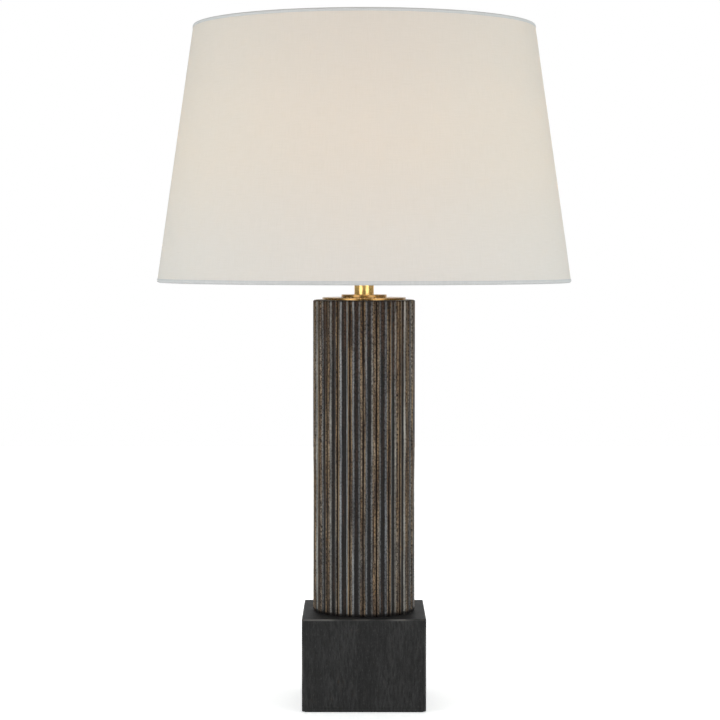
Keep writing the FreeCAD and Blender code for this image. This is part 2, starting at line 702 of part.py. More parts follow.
def harp_stud():
    """The stud that swivels in the eye of the harp and carries the shade on its flange."""
    rivet_top = EYE_BOTTOM_Z - STUD_AXIAL_GAP
    tip_z = HUB_TOP_Z + STUD_HEIGHT
    chamfer = 0.6
    return (
        Outline(0, rivet_top - STUD_RIVET_HEIGHT)
        .line(STUD_RIVET_RADIUS - chamfer, rivet_top - STUD_RIVET_HEIGHT)
        .line(STUD_RIVET_RADIUS, rivet_top - STUD_RIVET_HEIGHT + chamfer)
        .line(STUD_RIVET_RADIUS, rivet_top)
        .line(STUD_RADIUS, rivet_top)
        .line(STUD_RADIUS, STUD_FLANGE_Z)
        .line(STUD_FLANGE_RADIUS, STUD_FLANGE_Z)
        .line(STUD_FLANGE_RADIUS, HUB_Z)
        .line(STUD_RADIUS, HUB_Z)
        .line(STUD_RADIUS, tip_z - chamfer)
        .line(STUD_RADIUS - chamfer, tip_z)
        .line(0, tip_z)
        .turned()
    )


# Shade


def wall_point(along, out):
    """Radius and height of a point by the shade's wall: so far down its slant from the top edge of
    the panel, and so far out from the panel's outer face."""
    top_r = SHADE_TOP_RADIUS - TRIM_THICKNESS * math.cos(SHADE_LEAN)
    top_z = SHADE_TOP_Z - TRIM_THICKNESS * math.cos(SHADE_LEAN)
    r = top_r + along * math.sin(SHADE_LEAN) + out * math.cos(SHADE_LEAN)
    z = top_z - along * math.cos(SHADE_LEAN) + out * math.sin(SHADE_LEAN)
    return r, z


def wall_section(points):
    """A closed outline through points given along and out from the shade's wall."""
    outline = Outline(*wall_point(*points[0]))
    for along, out in points[1:]:
        outline.line(*wall_point(along, out))
    return outline


def shade_panel():
    """The stiffened linen, lapped at the back in a seam."""
    sheet = wall_section(
        [(0, 0), (PANEL_SLANT, 0), (PANEL_SLANT, -PANEL_THICKNESS), (0, -PANEL_THICKNESS)]
    ).turned()
    first, last = TRIM_OUTER_LEG, PANEL_SLANT - TRIM_OUTER_LEG
    bite = PANEL_THICKNESS / 2
    lap_degrees = math.degrees(SEAM_WIDTH / SHADE_BOTTOM_RADIUS)
    lap = wall_section(
        [(first, SEAM_THICKNESS), (last, SEAM_THICKNESS), (last, -bite), (first, -bite)]
    ).turned(lap_degrees)
    lap.rotate(ORIGIN, UP, 90 - lap_degrees / 2)
    return sheet.fuse(lap).removeSplitter()


def edge_ring_centre(at_top):
    """Radius and height of the centre of the wire in the rolled edge."""
    from_edge = RING_WIRE_RADIUS + SEAT_GAP
    along = from_edge if at_top else PANEL_SLANT - from_edge
    return wall_point(along, -PANEL_THICKNESS - RING_WIRE_RADIUS - SEAT_GAP)


def edge_ring(at_top):
    r, z = edge_ring_centre(at_top)
    return Part.makeTorus(r, RING_WIRE_RADIUS, Vector(0, 0, z), UP)


def edge_trim(at_top):
    """The fabric rolled over the edge of the panel and the wire inside it."""
    edge = 0 if at_top else PANEL_SLANT
    away = 1 if at_top else -1
    gap = SEAT_GAP / 2
    inner_face = -PANEL_THICKNESS - 2 * RING_WIRE_RADIUS - 2 * SEAT_GAP
    inner_out = inner_face - TRIM_THICKNESS
    ends = [
        (TRIM_OUTER_LEG, TRIM_THICKNESS),
        (0, TRIM_THICKNESS),
        (-TRIM_THICKNESS, 0),
        (-TRIM_THICKNESS, inner_face),
        (0, inner_out),
        (TRIM_INNER_LEG, inner_out),
        (TRIM_INNER_LEG, inner_face),
        (-gap, inner_face),
        (-gap, gap),
        (TRIM_OUTER_LEG, gap),
    ]
    trim = wall_section([(edge + away * along, out) for along, out in ends]).turned()
    if at_top:
        for slot in spider_arms(SPIDER_ARM_RADIUS + SLIDE_GAP):
            trim = trim.cut(slot)
    return trim


def spider_arms(radius):
    """The arms of the fitter, from the hub up to the wire in the top edge."""
    ring_r, ring_z = edge_ring_centre(True)
    start = Vector(HUB_RADIUS - SPIDER_ARM_RADIUS, 0, HUB_Z + HUB_THICKNESS / 2)
    end = Vector(ring_r, 0, ring_z)
    arm = cylinder_along(radius, start, end - start, (end - start).Length)
    return turned_pattern(arm, SPIDER_ARM_COUNT, 90.0)


def spider():
    """The fitter: a hub that sits on the stud, and the arms that carry the shade."""
    hub = ring(HUB_RADIUS, HUB_HOLE_RADIUS, HUB_Z, HUB_THICKNESS)
    return hub.fuse(spider_arms(SPIDER_ARM_RADIUS)).cut(edge_ring(True))


def finial():
    """A plain ball on a turned base, bored for the stud."""
    base_top = HUB_TOP_Z + FINIAL_BASE_HEIGHT
    neck_top = base_top + FINIAL_NECK_HEIGHT
    sink = FINIAL_BALL_RADIUS - math.sqrt(FINIAL_BALL_RADIUS**2 - FINIAL_NECK_RADIUS**2)
    ball_z = neck_top - sink + FINIAL_BALL_RADIUS
    ease = 0.5
    body = (
        Outline(0, HUB_TOP_Z)
        .line(FINIAL_BASE_RADIUS, HUB_TOP_Z)
        .line(FINIAL_BASE_RADIUS, base_top - ease)
        .line(FINIAL_BASE_RADIUS - ease, base_top)
        .line(FINIAL_NECK_RADIUS, base_top)
        .line(FINIAL_NECK_RADIUS, neck_top)
        .arc(FINIAL_BALL_RADIUS, ball_z, 0, ball_z + FINIAL_BALL_RADIUS)
        .turned()
    )
    return body.cut(disc(STUD_RADIUS + RUN_GAP, HUB_TOP_Z - 1, STUD_HEIGHT + 2))


# Bulb


def bulb_profile(inset, bottom_z):
    """The pear shape: a ball that runs through a hollow curve into a straight neck."""
    top_z = BULB_GLASS_Z + BULB_GLASS_HEIGHT
    ball_radius = BULB_RADIUS - inset
    ball_z = top_z - BULB_RADIUS
    neck_radius = BULB_NECK_RADIUS - inset
    neck_z = BULB_CAP_TOP_Z + 2
    # The hollow curve is tangent to the neck and to the ball: its centre is level with neck_z.
    drop = ball_z - neck_z
    hollow_radius = (drop**2 + neck_radius**2 - ball_radius**2) / (2 * (ball_radius - neck_radius))
    centre_x = neck_radius + hollow_radius
    reach = ball_radius / (ball_radius + hollow_radius)
    join_x, join_z = centre_x * reach, ball_z - drop * reach
    half_angle = math.atan2(ball_z - join_z, centre_x - join_x) / 2
    middle_x = centre_x - hollow_radius * math.cos(half_angle)
    middle_z = neck_z + hollow_radius * math.sin(half_angle)
    side = math.atan2(join_z - ball_z, join_x)
    crown = (side + math.pi / 2) / 2
    return (
        Outline(0, bottom_z)
        .line(neck_radius, bottom_z)
        .line(neck_radius, neck_z)
        .arc(middle_x, middle_z, join_x, join_z)
        .arc(
            ball_radius * math.cos(crown),
            ball_z + ball_radius * math.sin(crown),
            0,
            ball_z + ball_radius,
        )
        .turned()
    )


def bulb_glass():
    outside = bulb_profile(0, BULB_GLASS_Z)
    return outside.cut(bulb_profile(BULB_GLASS_WALL, BULB_GLASS_Z - 1))


def bulb_cap():
    """The metal screw cap, open above for the neck of the glass."""
    neck_hole = BULB_NECK_RADIUS + SEAT_GAP
    inside = BULB_CAP_RADIUS - BULB_CAP_WALL
    floor_z = BULB_CAP_Z + BULB_CAP_WALL
    return (
        Outline(BULB_CONTACT_RADIUS, BULB_CAP_Z)
        .line(BULB_CAP_RADIUS - 1, BULB_CAP_Z)
        .line(BULB_CAP_RADIUS, BULB_CAP_Z + 1)
        .line(BULB_CAP_RADIUS, BULB_CAP_TOP_Z)
        .line(neck_hole, BULB_CAP_TOP_Z)
        .line(neck_hole, BULB_CAP_TOP_Z - 1)
        .line(inside, BULB_CAP_TOP_Z - 2)
        .line(inside, floor_z)
        .line(BULB_CONTACT_RADIUS, floor_z)
        .turned()
    )


def bulb_insulator():
    return Part.makeCone(
        BULB_CONTACT_RADIUS + 2, BULB_CAP_RADIUS - 2, BULB_INSULATOR_HEIGHT, Vector(0, 0, BULB_INSULATOR_Z)
    )


def bulb_contact():
    return (
        Outline(0, BULB_CONTACT_Z)
        .line(BULB_CONTACT_RADIUS - 1, BULB_CONTACT_Z)
        .line(BULB_CONTACT_RADIUS, BULB_INSULATOR_Z)
        .line(0, BULB_INSULATOR_Z)
        .turned()
    )


# Lampholder


def holder_cap():
    """The cup at the foot of the holder: a hub on the rod, a rounded flare, and a rim."""
    rim_top = HOLDER_RIM_Z + HOLDER_CAP_RIM
    outer_bend_z = HOLDER_RIM_Z - HOLDER_CAP_FLARE * 0.75
    wall = HOLDER_CAP_WALL
    cup = (
        Outline(ROD_HOLE_RADIUS, HOLDER_HUB_Z)
        .line(HOLDER_HUB_RADIUS, HOLDER_HUB_Z)
        .line(HOLDER_HUB_RADIUS, HOLDER_FLARE_Z - wall)
        .arc(HOLDER_CAP_RADIUS * 0.82, outer_bend_z, HOLDER_CAP_RADIUS, HOLDER_RIM_Z)
        .line(HOLDER_CAP_RADIUS, rim_top)
        .line(HOLDER_CAP_BORE_RADIUS, rim_top)
        .line(HOLDER_CAP_BORE_RADIUS, HOLDER_RIM_Z)
        .arc(HOLDER_CAP_RADIUS * 0.82 - wall, outer_bend_z + wall, HOLDER_HUB_RADIUS, HOLDER_FLARE_Z)
        .line(ROD_HOLE_RADIUS, HOLDER_FLARE_Z)
        .turned()
    )
    return cup.cut(set_screw_hole())


def set_screw_hole():
    start = Vector(ROD_RADIUS, 0, HOLDER_HUB_Z + HOLDER_HUB_HEIGHT / 2)
    return cylinder_along(SET_SCREW_RADIUS + SEAT_GAP, start, Vector(1, 0, 0), HOLDER_HUB_RADIUS)


def set_screw():
    middle_z = HOLDER_HUB_Z + HOLDER_HUB_HEIGHT / 2
    start = ROD_RADIUS + SEAT_GAP
    length = HOLDER_HUB_RADIUS + 1 - start
    screw = cylinder_along(SET_SCREW_RADIUS, Vector(start, 0, middle_z), Vector(1, 0, 0), length)
    slot = Part.makeBox(
        1,
        2 * SET_SCREW_RADIUS,
        SET_SCREW_SLOT,
        Vector(start + length - 0.7, -SET_SCREW_RADIUS, middle_z - SET_SCREW_SLOT / 2),
    )
    return screw.cut(slot)


def stem_hole(radius):
    """What a hole for the switch's stem or boss takes out of the front of the holder."""
    return cylinder_along(radius, Vector(0, 0, STEM_Z), FRONT, SHELL_RADIUS + 5)


def holder_shell():
    """The brass shell, with a rolled rim above and a hole for the switch."""
    bead = SHELL_WALL * 0.6
    shell = (
        Outline(SHELL_BORE_RADIUS, SHELL_Z)
        .line(SHELL_RADIUS, SHELL_Z)
        .line(SHELL_RADIUS, SHELL_TOP_Z - 2.4)
        .arc(SHELL_RADIUS + bead, SHELL_TOP_Z - 1.2, SHELL_RADIUS, SHELL_TOP_Z)
        .line(SHELL_BORE_RADIUS, SHELL_TOP_Z)
        .turned()
    )
    return shell.cut(stem_hole(STEM_BOSS_RADIUS + SEAT_GAP))


def holder_sleeve():
    """The card sleeve that insulates the shell. It stands a little proud of it."""
    height = SHELL_TOP_Z + SLEEVE_PROUD - HOLDER_BODY_Z
    sleeve = ring(SLEEVE_RADIUS, SLEEVE_BORE_RADIUS, HOLDER_BODY_Z, height)
    return sleeve.cut(stem_hole(STEM_BOSS_RADIUS + SEAT_GAP))


def terminal_screw(gap=0.0):
    """A terminal screw on the right of the body. With a gap, the pocket that it needs."""
    head_x = HOLDER_BODY_RADIUS - TERMINAL_SCREW_HEAD - 0.6
    side = Vector(1, 0, 0)
    head_length = TERMINAL_SCREW_HEAD + (3 if gap else 0)
    head = cylinder_along(TERMINAL_SCREW_RADIUS + gap, Vector(head_x, 0, STEM_Z), side, head_length)
    shank_x = head_x - TERMINAL_SCREW_LENGTH - gap
    shank_length = TERMINAL_SCREW_LENGTH + gap
    shank = cylinder_along(
        TERMINAL_SCREW_SHANK + gap, Vector(shank_x, 0, STEM_Z), side, shank_length
    )
    return head.fuse(shank)


def holder_body():
    """The moulded body that holds the switch, the contacts and the boss of the stem."""
    body = disc(HOLDER_BODY_RADIUS, HOLDER_BODY_Z, HOLDER_BODY_HEIGHT)
    boss = cylinder_along(STEM_BOSS_RADIUS, Vector(0, 0, STEM_Z), FRONT, -BOSS_FACE_Y)
    body = body.fuse(boss)
    room_start = Vector(0, STEM_INNER_Y + RUN_GAP, STEM_Z)
    stem_room = cylinder_along(STEM_RADIUS + RUN_GAP, room_start, FRONT, 2 * SHELL_RADIUS)
    pocket = terminal_screw(SEAT_GAP)
    return body.cut(stem_room).cut(pocket).cut(mirrored_x(pocket))


def screw_shell():
    """The threaded shell that takes the cap of the bulb, on a floor with a hole for the contact."""
    wall = ring(SCREW_SHELL_RADIUS, SCREW_SHELL_BORE_RADIUS, SCREW_SHELL_Z, SCREW_SHELL_HEIGHT)
    floor_hole = CENTRE_CONTACT_RADIUS + 2
    floor = ring(SCREW_SHELL_RADIUS, floor_hole, SCREW_SHELL_Z, SCREW_SHELL_WALL)
    return wall.fuse(floor).removeSplitter()


def centre_contact():
    """The brass tongue that touches the bulb: a round foot and a domed top."""
    return (
        Outline(0, SCREW_SHELL_Z)
        .line(CENTRE_CONTACT_RADIUS, SCREW_SHELL_Z)
        .line(CENTRE_CONTACT_RADIUS, SCREW_SHELL_Z + 0.8)
        .line(CENTRE_CONTACT_RADIUS / 2, SCREW_SHELL_Z + 0.8)
        .line(CENTRE_CONTACT_RADIUS / 2, SCREW_SHELL_Z + CENTRE_CONTACT_HEIGHT)
        .line(0, SCREW_SHELL_Z + CENTRE_CONTACT_HEIGHT)
        .turned()
    )


def switch_stem():
    length = STEM_INNER_Y - (KNOB_BORE_END_Y + SEAT_GAP)
    return cylinder_along(STEM_RADIUS, Vector(0, STEM_INNER_Y, STEM_Z), FRONT, length)


def switch_knob():
    """A ribbed knob with a domed face, bored for the stem."""
    far_y = KNOB_NEAR_Y - KNOB_LENGTH
    blank = cylinder_along(KNOB_RADIUS, Vector(0, KNOB_NEAR_Y, STEM_Z), FRONT, KNOB_LENGTH)
    rims = [e for e in blank.Edges if e.BoundBox.YLength < 1e-6]
    blank = blank.makeFillet(1.2, rims)
    groove = cylinder_along(
        KNOB_RIB_RADIUS,
        Vector(KNOB_RADIUS + KNOB_RIB_RADIUS * 0.45, KNOB_NEAR_Y + 1, STEM_Z),
        FRONT,
        KNOB_LENGTH - 2,
    )
    for k in range(KNOB_RIBS):
        cutter = groove.copy()
        cutter.rotate(Vector(0, far_y, STEM_Z), FRONT, k * 360.0 / KNOB_RIBS)
        blank = blank.cut(cutter)
    bore = cylinder_along(
        STEM_RADIUS + SEAT_GAP, Vector(0, KNOB_NEAR_Y + 1, STEM_Z), FRONT, KNOB_BORE_DEPTH + 1
    )
    return blank.cut(bore)


def lamp():
    """Every piece of the lamp by the name of its node: one solid, or a list of like solids."""
    plinth_top, plinth_front, plinth_sides, plinth_back = plinth_panels()
    right_ferrule = ferrule()
    right_terminal = terminal_screw()
    return {
        "felt_pad": felt_pad(),
        "base_board": base_board(),
        "board_screws": turned_pattern(board_screw(), 4),
        "corner_blocks": turned_pattern(corner_block(), 4),
        "plinth_front": plinth_front,
        "plinth_sides": plinth_sides,
        "plinth_back": plinth_back,
        "plinth_top": plinth_top,
        "base_weight": base_weight(),
        "outlet_bushing": outlet_bushing(),
        "outlet_nut": outlet_nut(),
        "threaded_rod": ring(ROD_RADIUS, ROD_BORE_RADIUS, ROD_BOTTOM_Z, ROD_TOP_Z - ROD_BOTTOM_Z),
        "rod_nut": hex_nut(ROD_NUT_FLATS, ROD_HOLE_RADIUS, ROD_NUT_Z, ROD_NUT_HEIGHT),
        "rod_lock_washer": lock_washer(ROD_LOCK_WASHER_Z),
        "rod_washer": ring(ROD_WASHER_RADIUS, ROD_HOLE_RADIUS, ROD_WASHER_Z, ROD_WASHER_THICKNESS),
        "lower_check_ring": ring(
            CHECK_RING_RADIUS, ROD_HOLE_RADIUS, PLINTH_TOP_Z, CHECK_RING_THICKNESS
        ),
        "column": column(),
        "upper_check_ring": ring(
            CHECK_RING_RADIUS,
            ROD_HOLE_RADIUS,
            COLUMN_TOP_Z - CHECK_RING_THICKNESS,
            CHECK_RING_THICKNESS,
        ),
        "cap_plate": plate(CAP_PLATE_RADIUS, COLUMN_TOP_Z, CAP_PLATE_THICKNESS),
        "collar_plate": collar_plate(),
        "neck_tube": ring(NECK_RADIUS, NECK_BORE_RADIUS, COLLAR_TOP_Z, NECK_LENGTH),
        "neck_washer": neck_washer(),
        "harp_saddle": harp_saddle(),
        "saddle_lock_washer": lock_washer(SADDLE_TOP_Z),
        "saddle_nut": hex_nut(ROD_NUT_FLATS, ROD_HOLE_RADIUS, SADDLE_NUT_Z, SADDLE_NUT_HEIGHT),
        "holder_cap": holder_cap(),
        "holder_set_screw": set_screw(),
        "holder_shell": holder_shell(),
        "holder_sleeve": holder_sleeve(),
        "holder_body": holder_body(),
        "terminal_screws": [right_terminal, mirrored_x(right_terminal)],
        "screw_shell": screw_shell(),
        "centre_contact": centre_contact(),
        "switch_stem": switch_stem(),
        "switch_knob": switch_knob(),
        "bulb_contact": bulb_contact(),
        "bulb_insulator": bulb_insulator(),
        "bulb_cap": bulb_cap(),
        "bulb_glass": bulb_glass(),
        "harp": harp(),
        "right_ferrule": right_ferrule,
        "left_ferrule": mirrored_x(right_ferrule),
        "harp_stud": harp_stud(),
        "spider": spider(),
        "shade_top_ring": edge_ring(True),
        "shade_bottom_ring": edge_ring(False),
        "shade_panel": shade_panel(),
        "shade_top_trim": edge_trim(True),
        "shade_bottom_trim": edge_trim(False),
        "finial": finial(),
    }


def write(pieces):
    """Writes one STEP file for each node, named after it."""
    os.makedirs("parts", exist_ok=True)
    for name, piece in pieces.items():
        solids = piece if isinstance(piece, list) else [piece]
        Part.makeCompound(solids).exportStep(f"parts/{name}.step")


write(lamp())
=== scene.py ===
"""A column table lamp, dressed for rendering: finishes for the rigid pieces, and its cloth and threads."""

import json
import math

import bpy
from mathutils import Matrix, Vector


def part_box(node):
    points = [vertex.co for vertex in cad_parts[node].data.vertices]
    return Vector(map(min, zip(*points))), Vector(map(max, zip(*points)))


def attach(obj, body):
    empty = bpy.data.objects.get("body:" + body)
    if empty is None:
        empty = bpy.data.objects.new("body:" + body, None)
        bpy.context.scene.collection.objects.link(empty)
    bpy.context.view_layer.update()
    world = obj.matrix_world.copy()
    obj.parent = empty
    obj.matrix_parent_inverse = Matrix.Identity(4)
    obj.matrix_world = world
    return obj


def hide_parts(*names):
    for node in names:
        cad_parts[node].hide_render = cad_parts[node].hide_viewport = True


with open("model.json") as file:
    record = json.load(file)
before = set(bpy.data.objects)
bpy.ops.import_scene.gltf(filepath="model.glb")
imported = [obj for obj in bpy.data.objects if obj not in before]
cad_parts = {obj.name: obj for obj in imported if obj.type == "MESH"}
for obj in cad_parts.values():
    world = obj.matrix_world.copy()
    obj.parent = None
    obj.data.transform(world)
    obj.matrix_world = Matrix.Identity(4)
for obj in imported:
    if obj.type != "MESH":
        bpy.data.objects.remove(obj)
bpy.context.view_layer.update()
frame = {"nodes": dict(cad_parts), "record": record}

MM = 0.001
SMOOTH_ANGLE = math.radians(35)  # below which faces meet smoothly

# Camera, solved from the photograph's outline of the lamp. Its angles are in degrees.
IMAGE_WIDTH = 720
SENSOR_WIDTH_MM = 36.0
FOCAL_PIXELS = 2184.8
CAMERA_PLACE = Vector((-0.0043, -2.2915, 0.4733))
CAMERA_PITCH = -2.823
CAMERA_ROLL = -0.025

# Corners that the frame gives
COLUMN_LOW, COLUMN_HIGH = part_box("column")
PLINTH_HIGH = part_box("plinth_sides")[1]
TOP_TRIM_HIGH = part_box("shade_top_trim")[1]
BOTTOM_TRIM_LOW, BOTTOM_TRIM_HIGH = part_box("shade_bottom_trim")
BULB_LOW, BULB_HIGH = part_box("bulb_glass")
CAP_LOW, CAP_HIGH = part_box("bulb_cap")
STUD_LOW, STUD_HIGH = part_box("harp_stud")
FELT_LOW, FELT_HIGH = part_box("felt_pad")
HOLDER_SCREW_LOW, HOLDER_SCREW_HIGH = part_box("screw_shell")
HOLDER_SHELL_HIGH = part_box("holder_shell")[1]

# Column
FLUTE_COUNT = 24
COLUMN_RADIUS = COLUMN_HIGH.x
COLUMN_TURN = math.radians(-1.1)  # of the front joint, from straight ahead
# Painted shade at both ends of the column: under the cap plate and at its foot on the plinth
END_SHADE_EDGE = (4.2 * MM, 2.0 * MM)
TOP_END_SHIFT = 2.0 * MM  # the painted shade band at the top is that much narrower
REDDENING_HEIGHTS = (0.27, 0.42)

# Marks on the column, in millimetres from the joint between two lips. A pair is an edge that fades.
JOINT_EDGE = (1.05, 0.5)
LIP_INNER_EDGE = (0.8, 1.3)
LIP_OUTER_EDGE = (2.5, 1.9)
# The pale line on each wall is a painted highlight of the soft boxes
HIGHLIGHT_NEAREST = 3.2
HIGHLIGHT_SPREAD = 1.5
HIGHLIGHT_WANDER = 1.4
HIGHLIGHT_EDGE = (1.3, 0.15)  # from its middle
BROWN_EDGE = (-0.3, -1.4)  # from the middle of the painted highlight
BLACK_EDGE = (1.9, 0.2)  # from the middle of the painted highlight
SECOND_DRAW = 71.3  # sets a wall's second random number apart from its first

# Plinth
WORN_EDGE = (2.0 * MM, 0.7 * MM)

# Shade
SHADE_TOP_RADIUS = TOP_TRIM_HIGH.x
SHADE_BOTTOM_RADIUS = BOTTOM_TRIM_HIGH.x
SHADE_TOP_Z = TOP_TRIM_HIGH.z
SHADE_BOTTOM_Z = BOTTOM_TRIM_LOW.z
SHADE_LEAN = math.atan2(SHADE_BOTTOM_RADIUS - SHADE_TOP_RADIUS, SHADE_TOP_Z - SHADE_BOTTOM_Z)
SHADE_SLANT = (SHADE_TOP_Z - SHADE_BOTTOM_Z) / math.cos(SHADE_LEAN)
SHADE_SEGMENTS = 288
PANEL_THICKNESS = 1.0 * MM
LINEN_THICKNESS = 0.35 * MM
LINEN_SINK = 0.05 * MM  # under the shade's face, because of its ripple
LINEN_RIPPLE = 0.06 * MM
RIPPLES_ROUND = 9
RIPPLE_SKEW, RIPPLE_RATE = 40.0, 55.0  # in radians for each metre down the slant
RIPPLE_START = 1.3
LINEN_MARGIN = 1.2 * MM  # to the edges of the shade
LINEN_THREAD_PITCH = 0.55 * MM
LINEN_HEIGHT_STEPS = 48
# Height of the painted glow on the linen, at the bulb
PAINTED_GLOW_Z = 0.55 * SHADE_TOP_Z + 0.45 * SHADE_BOTTOM_Z
LAP_WIDTH = 12.0 * MM
LAP_RISE = 1.5 * MM  # over which the outer end climbs on to the other
LAP_GAP = 0.03 * MM
LINER_DEPTH = LINEN_THICKNESS + 0.15 * MM  # of its outer side under the shade's face
LINER_MARGIN = 0.7 * MM
LINER_HEIGHT_STEPS = 24
LINER_SEGMENTS = 240
TAPE_THICKNESS = 0.45 * MM
TAPE_PROUD = 0.9 * TAPE_THICKNESS  # of the shade's face
TAPE_THREAD_PITCH = 0.45 * MM
TAPE_SHADOW_DEPTH = (1.5 * MM, 0.3 * MM)  # below the top of the shade, from none to the full painted shadow
TAPE_OUTER_LEG = 3.8 * MM
TAPE_INNER_LEG = 3.4 * MM
TAPE_CROWN_STEPS = 12
WIRE_ROOM = 3.2 * MM  # between the liner and the inner leg of the tape
THREAD_DRIFT = 0.9 * MM

# Felt
FELT_CORNER_RADIUS = 1.8 * MM
FELT_CORNER_STEPS = 6
FELT_SOFT_EDGE = 0.35 * MM

# Threads and beads
SCREW_SEGMENTS = 96
ROWS_PER_TURN = 12
CAP_PITCH = 3.63 * MM  # seven turns to the inch
CAP_THREAD_DEPTH = 0.85 * MM
CAP_THREADED_HEIGHT = 15.6 * MM  # with the floor
CAP_WALL = 0.5 * MM
CAP_ROLL = 0.15 * MM  # by which the skirt's end is rolled in
CAP_CORNER_HEIGHT = 1.0 * MM
CONTACT_HOLE_RADIUS = 4.8 * MM
HOLDER_THREAD_DEPTH = 0.5 * MM
HOLDER_SCREW_RADIUS = HOLDER_SCREW_HIGH.x - 0.05 * MM  # inside, at its widest
HOLDER_SCREW_WALL = 0.6 * MM
HOLDER_FLOOR_HOLE = 6.0 * MM
HOLDER_FLOOR_BEVEL = 0.6 * MM
HOLDER_INNER_BEVEL = 0.4 * MM
HOLDER_RIM_ROUND = 0.2 * MM
HOLDER_PLAIN_END = 1.2 * MM  # without thread, at both ends
STUD_PITCH = 0.94 * MM  # twenty-seven turns to the inch
STUD_THREAD_DEPTH = 0.35 * MM
STUD_THREAD_RADIUS = 3.1 * MM
STUD_THREADED_HEIGHT = 10.6 * MM
STUD_FLANGE_THICKNESS = 1.6 * MM
STUD_FLANGE_BEVEL = 0.3 * MM
STUD_TIP_BEVEL = 0.6 * MM
STUD_RUN_IN = 0.2 * MM  # from the flange to the thread
STUD_SEGMENTS = 64
STUD_ROWS_PER_TURN = 10
RIVET_RADIUS = 5.0 * MM
RIVET_HEIGHT = 1.3 * MM
RIVET_BEVEL = 0.6 * MM
HOLDER_SHELL_RADIUS = HOLDER_SHELL_HIGH.x - 0.42 * MM  # below its rolled rim
BEAD_HALF = 1.0 * MM
BEAD_PROUD = 0.55 * MM
BEAD_ROOT = 0.35 * MM  # inside the shell
BEAD_STEPS = 10
BEAD_SEGMENTS = 144
BEADS_BELOW_TOP = (25.1 * MM, 21.1 * MM)

# Light
BULB_STRENGTH = 40.0
BULB_SEEN = 0.45  # what the camera sees of it, so that the glass keeps its form
AMBIENT = 0.4
MIRRORED_DARK = 0.25
BACKDROP_EDGE = (0.6, 0.92)  # how straight behind the lamp a mirrored ray looks
LAMP_MIDDLE = Vector((0, 0, 0.35))
FLOOR_HALF = 3.0
SHADOW_REACH = (0.3, 1.2)  # from the axis, between which the floor turns fully white
WHITE = (1.0, 1.0, 1.0)
COOL_LIGHT = (0.77, 0.97, 1.0)


# Meshes


def new_piece(name, points, faces):
    """A mesh object with smooth round stretches and sharp edges."""
    mesh = bpy.data.meshes.new(name)
    mesh.from_pydata(points, [], faces)
    mesh.update()
    piece = bpy.data.objects.new(name, mesh)
    bpy.context.scene.collection.objects.link(piece)
    mesh.polygons.foreach_set("use_smooth", [True] * len(mesh.polygons))
    mesh.set_sharp_from_angle(angle=SMOOTH_ANGLE)
    return piece


def turned(name, outline, segments, wobble=None, solid=False):
    """An outline of (radius, height) turned round the axis: a closed one, or for a solid piece one from its
    lowest round face to its highest. wobble(angle, height) adds to the radius."""
    points, faces = [], []
    count = len(outline)
    for k in range(segments):
        angle = 2 * math.pi * k / segments
        for r, z in outline:
            reach = r + (wobble(angle, z) if wobble else 0.0)
            points.append((reach * math.cos(angle), reach * math.sin(angle), z))
    for k in range(segments):
        here, there = k * count, (k + 1) % segments * count
        for i in range(count - 1 if solid else count):
            j = (i + 1) % count
            faces.append((here + i, there + i, there + j, here + j))
    if solid:
        faces.append(tuple(k * count for k in reversed(range(segments))))
        faces.append(tuple(k * count + count - 1 for k in range(segments)))
    return new_piece(name, points, faces)


def sheet_faces(columns, rows):
    """The faces of a thin closed sheet. Its points run column by column, those of its outer side first."""
    faces = []
    ring, last = 2 * rows, rows - 1
    for k in range(columns - 1):
        a, b = k * ring, (k + 1) * ring
        for i in range(last):
            faces.append((a + i, a + i + 1, b + i + 1, b + i))
            faces.append((a + rows + i, b + rows + i, b + rows + i + 1, a + rows + i + 1))
        faces.append((a, b, b + rows, a + rows))
        faces.append((a + last, a + rows + last, b + rows + last, b + last))
    for a, at_end in ((0, False), ((columns - 1) * ring, True)):
        for i in range(last):
            face = (a + i, a + rows + i, a + rows + i + 1, a + i + 1)
            faces.append(face[::-1] if at_end else face)
    return faces


def screw_wave(pitch, depth, low, high):
    """A rounded right-hand thread between two heights, as a wobble: from minus its depth to nothing."""
    fade_length = 0.6 * pitch

    def wobble(angle, z):
        fade_in = min(1.0, max(0.0, (z - low) / fade_length))
        fade_out = min(1.0, max(0.0, (high - z) / fade_length))
        return depth * fade_in * fade_out * 0.5 * (math.cos(2 * math.pi * z / pitch - angle) - 1.0)

    return wobble


def levels(low, high, step):
    """Heights from low to high, about a step apart."""
    count = max(1, round((high - low) / step))
    return [low + (high - low) * k / count for k in range(count + 1)]


def shade_point(along, out, from_top=True):
    """Radius and height by the shade's wall: so far down its slant from the top edge, or up it from the
    bottom edge, and so far out from the outer face of its linen."""
    sin, cos = math.sin(SHADE_LEAN), math.cos(SHADE_LEAN)
    if from_top:
        r = SHADE_TOP_RADIUS + along * sin
        z = SHADE_TOP_Z - along * cos
    else:
        r = SHADE_BOTTOM_RADIUS - along * sin
        z = SHADE_BOTTOM_Z + along * cos
    out -= TAPE_THICKNESS
    return r + out * cos, z + out * sin


# Materials


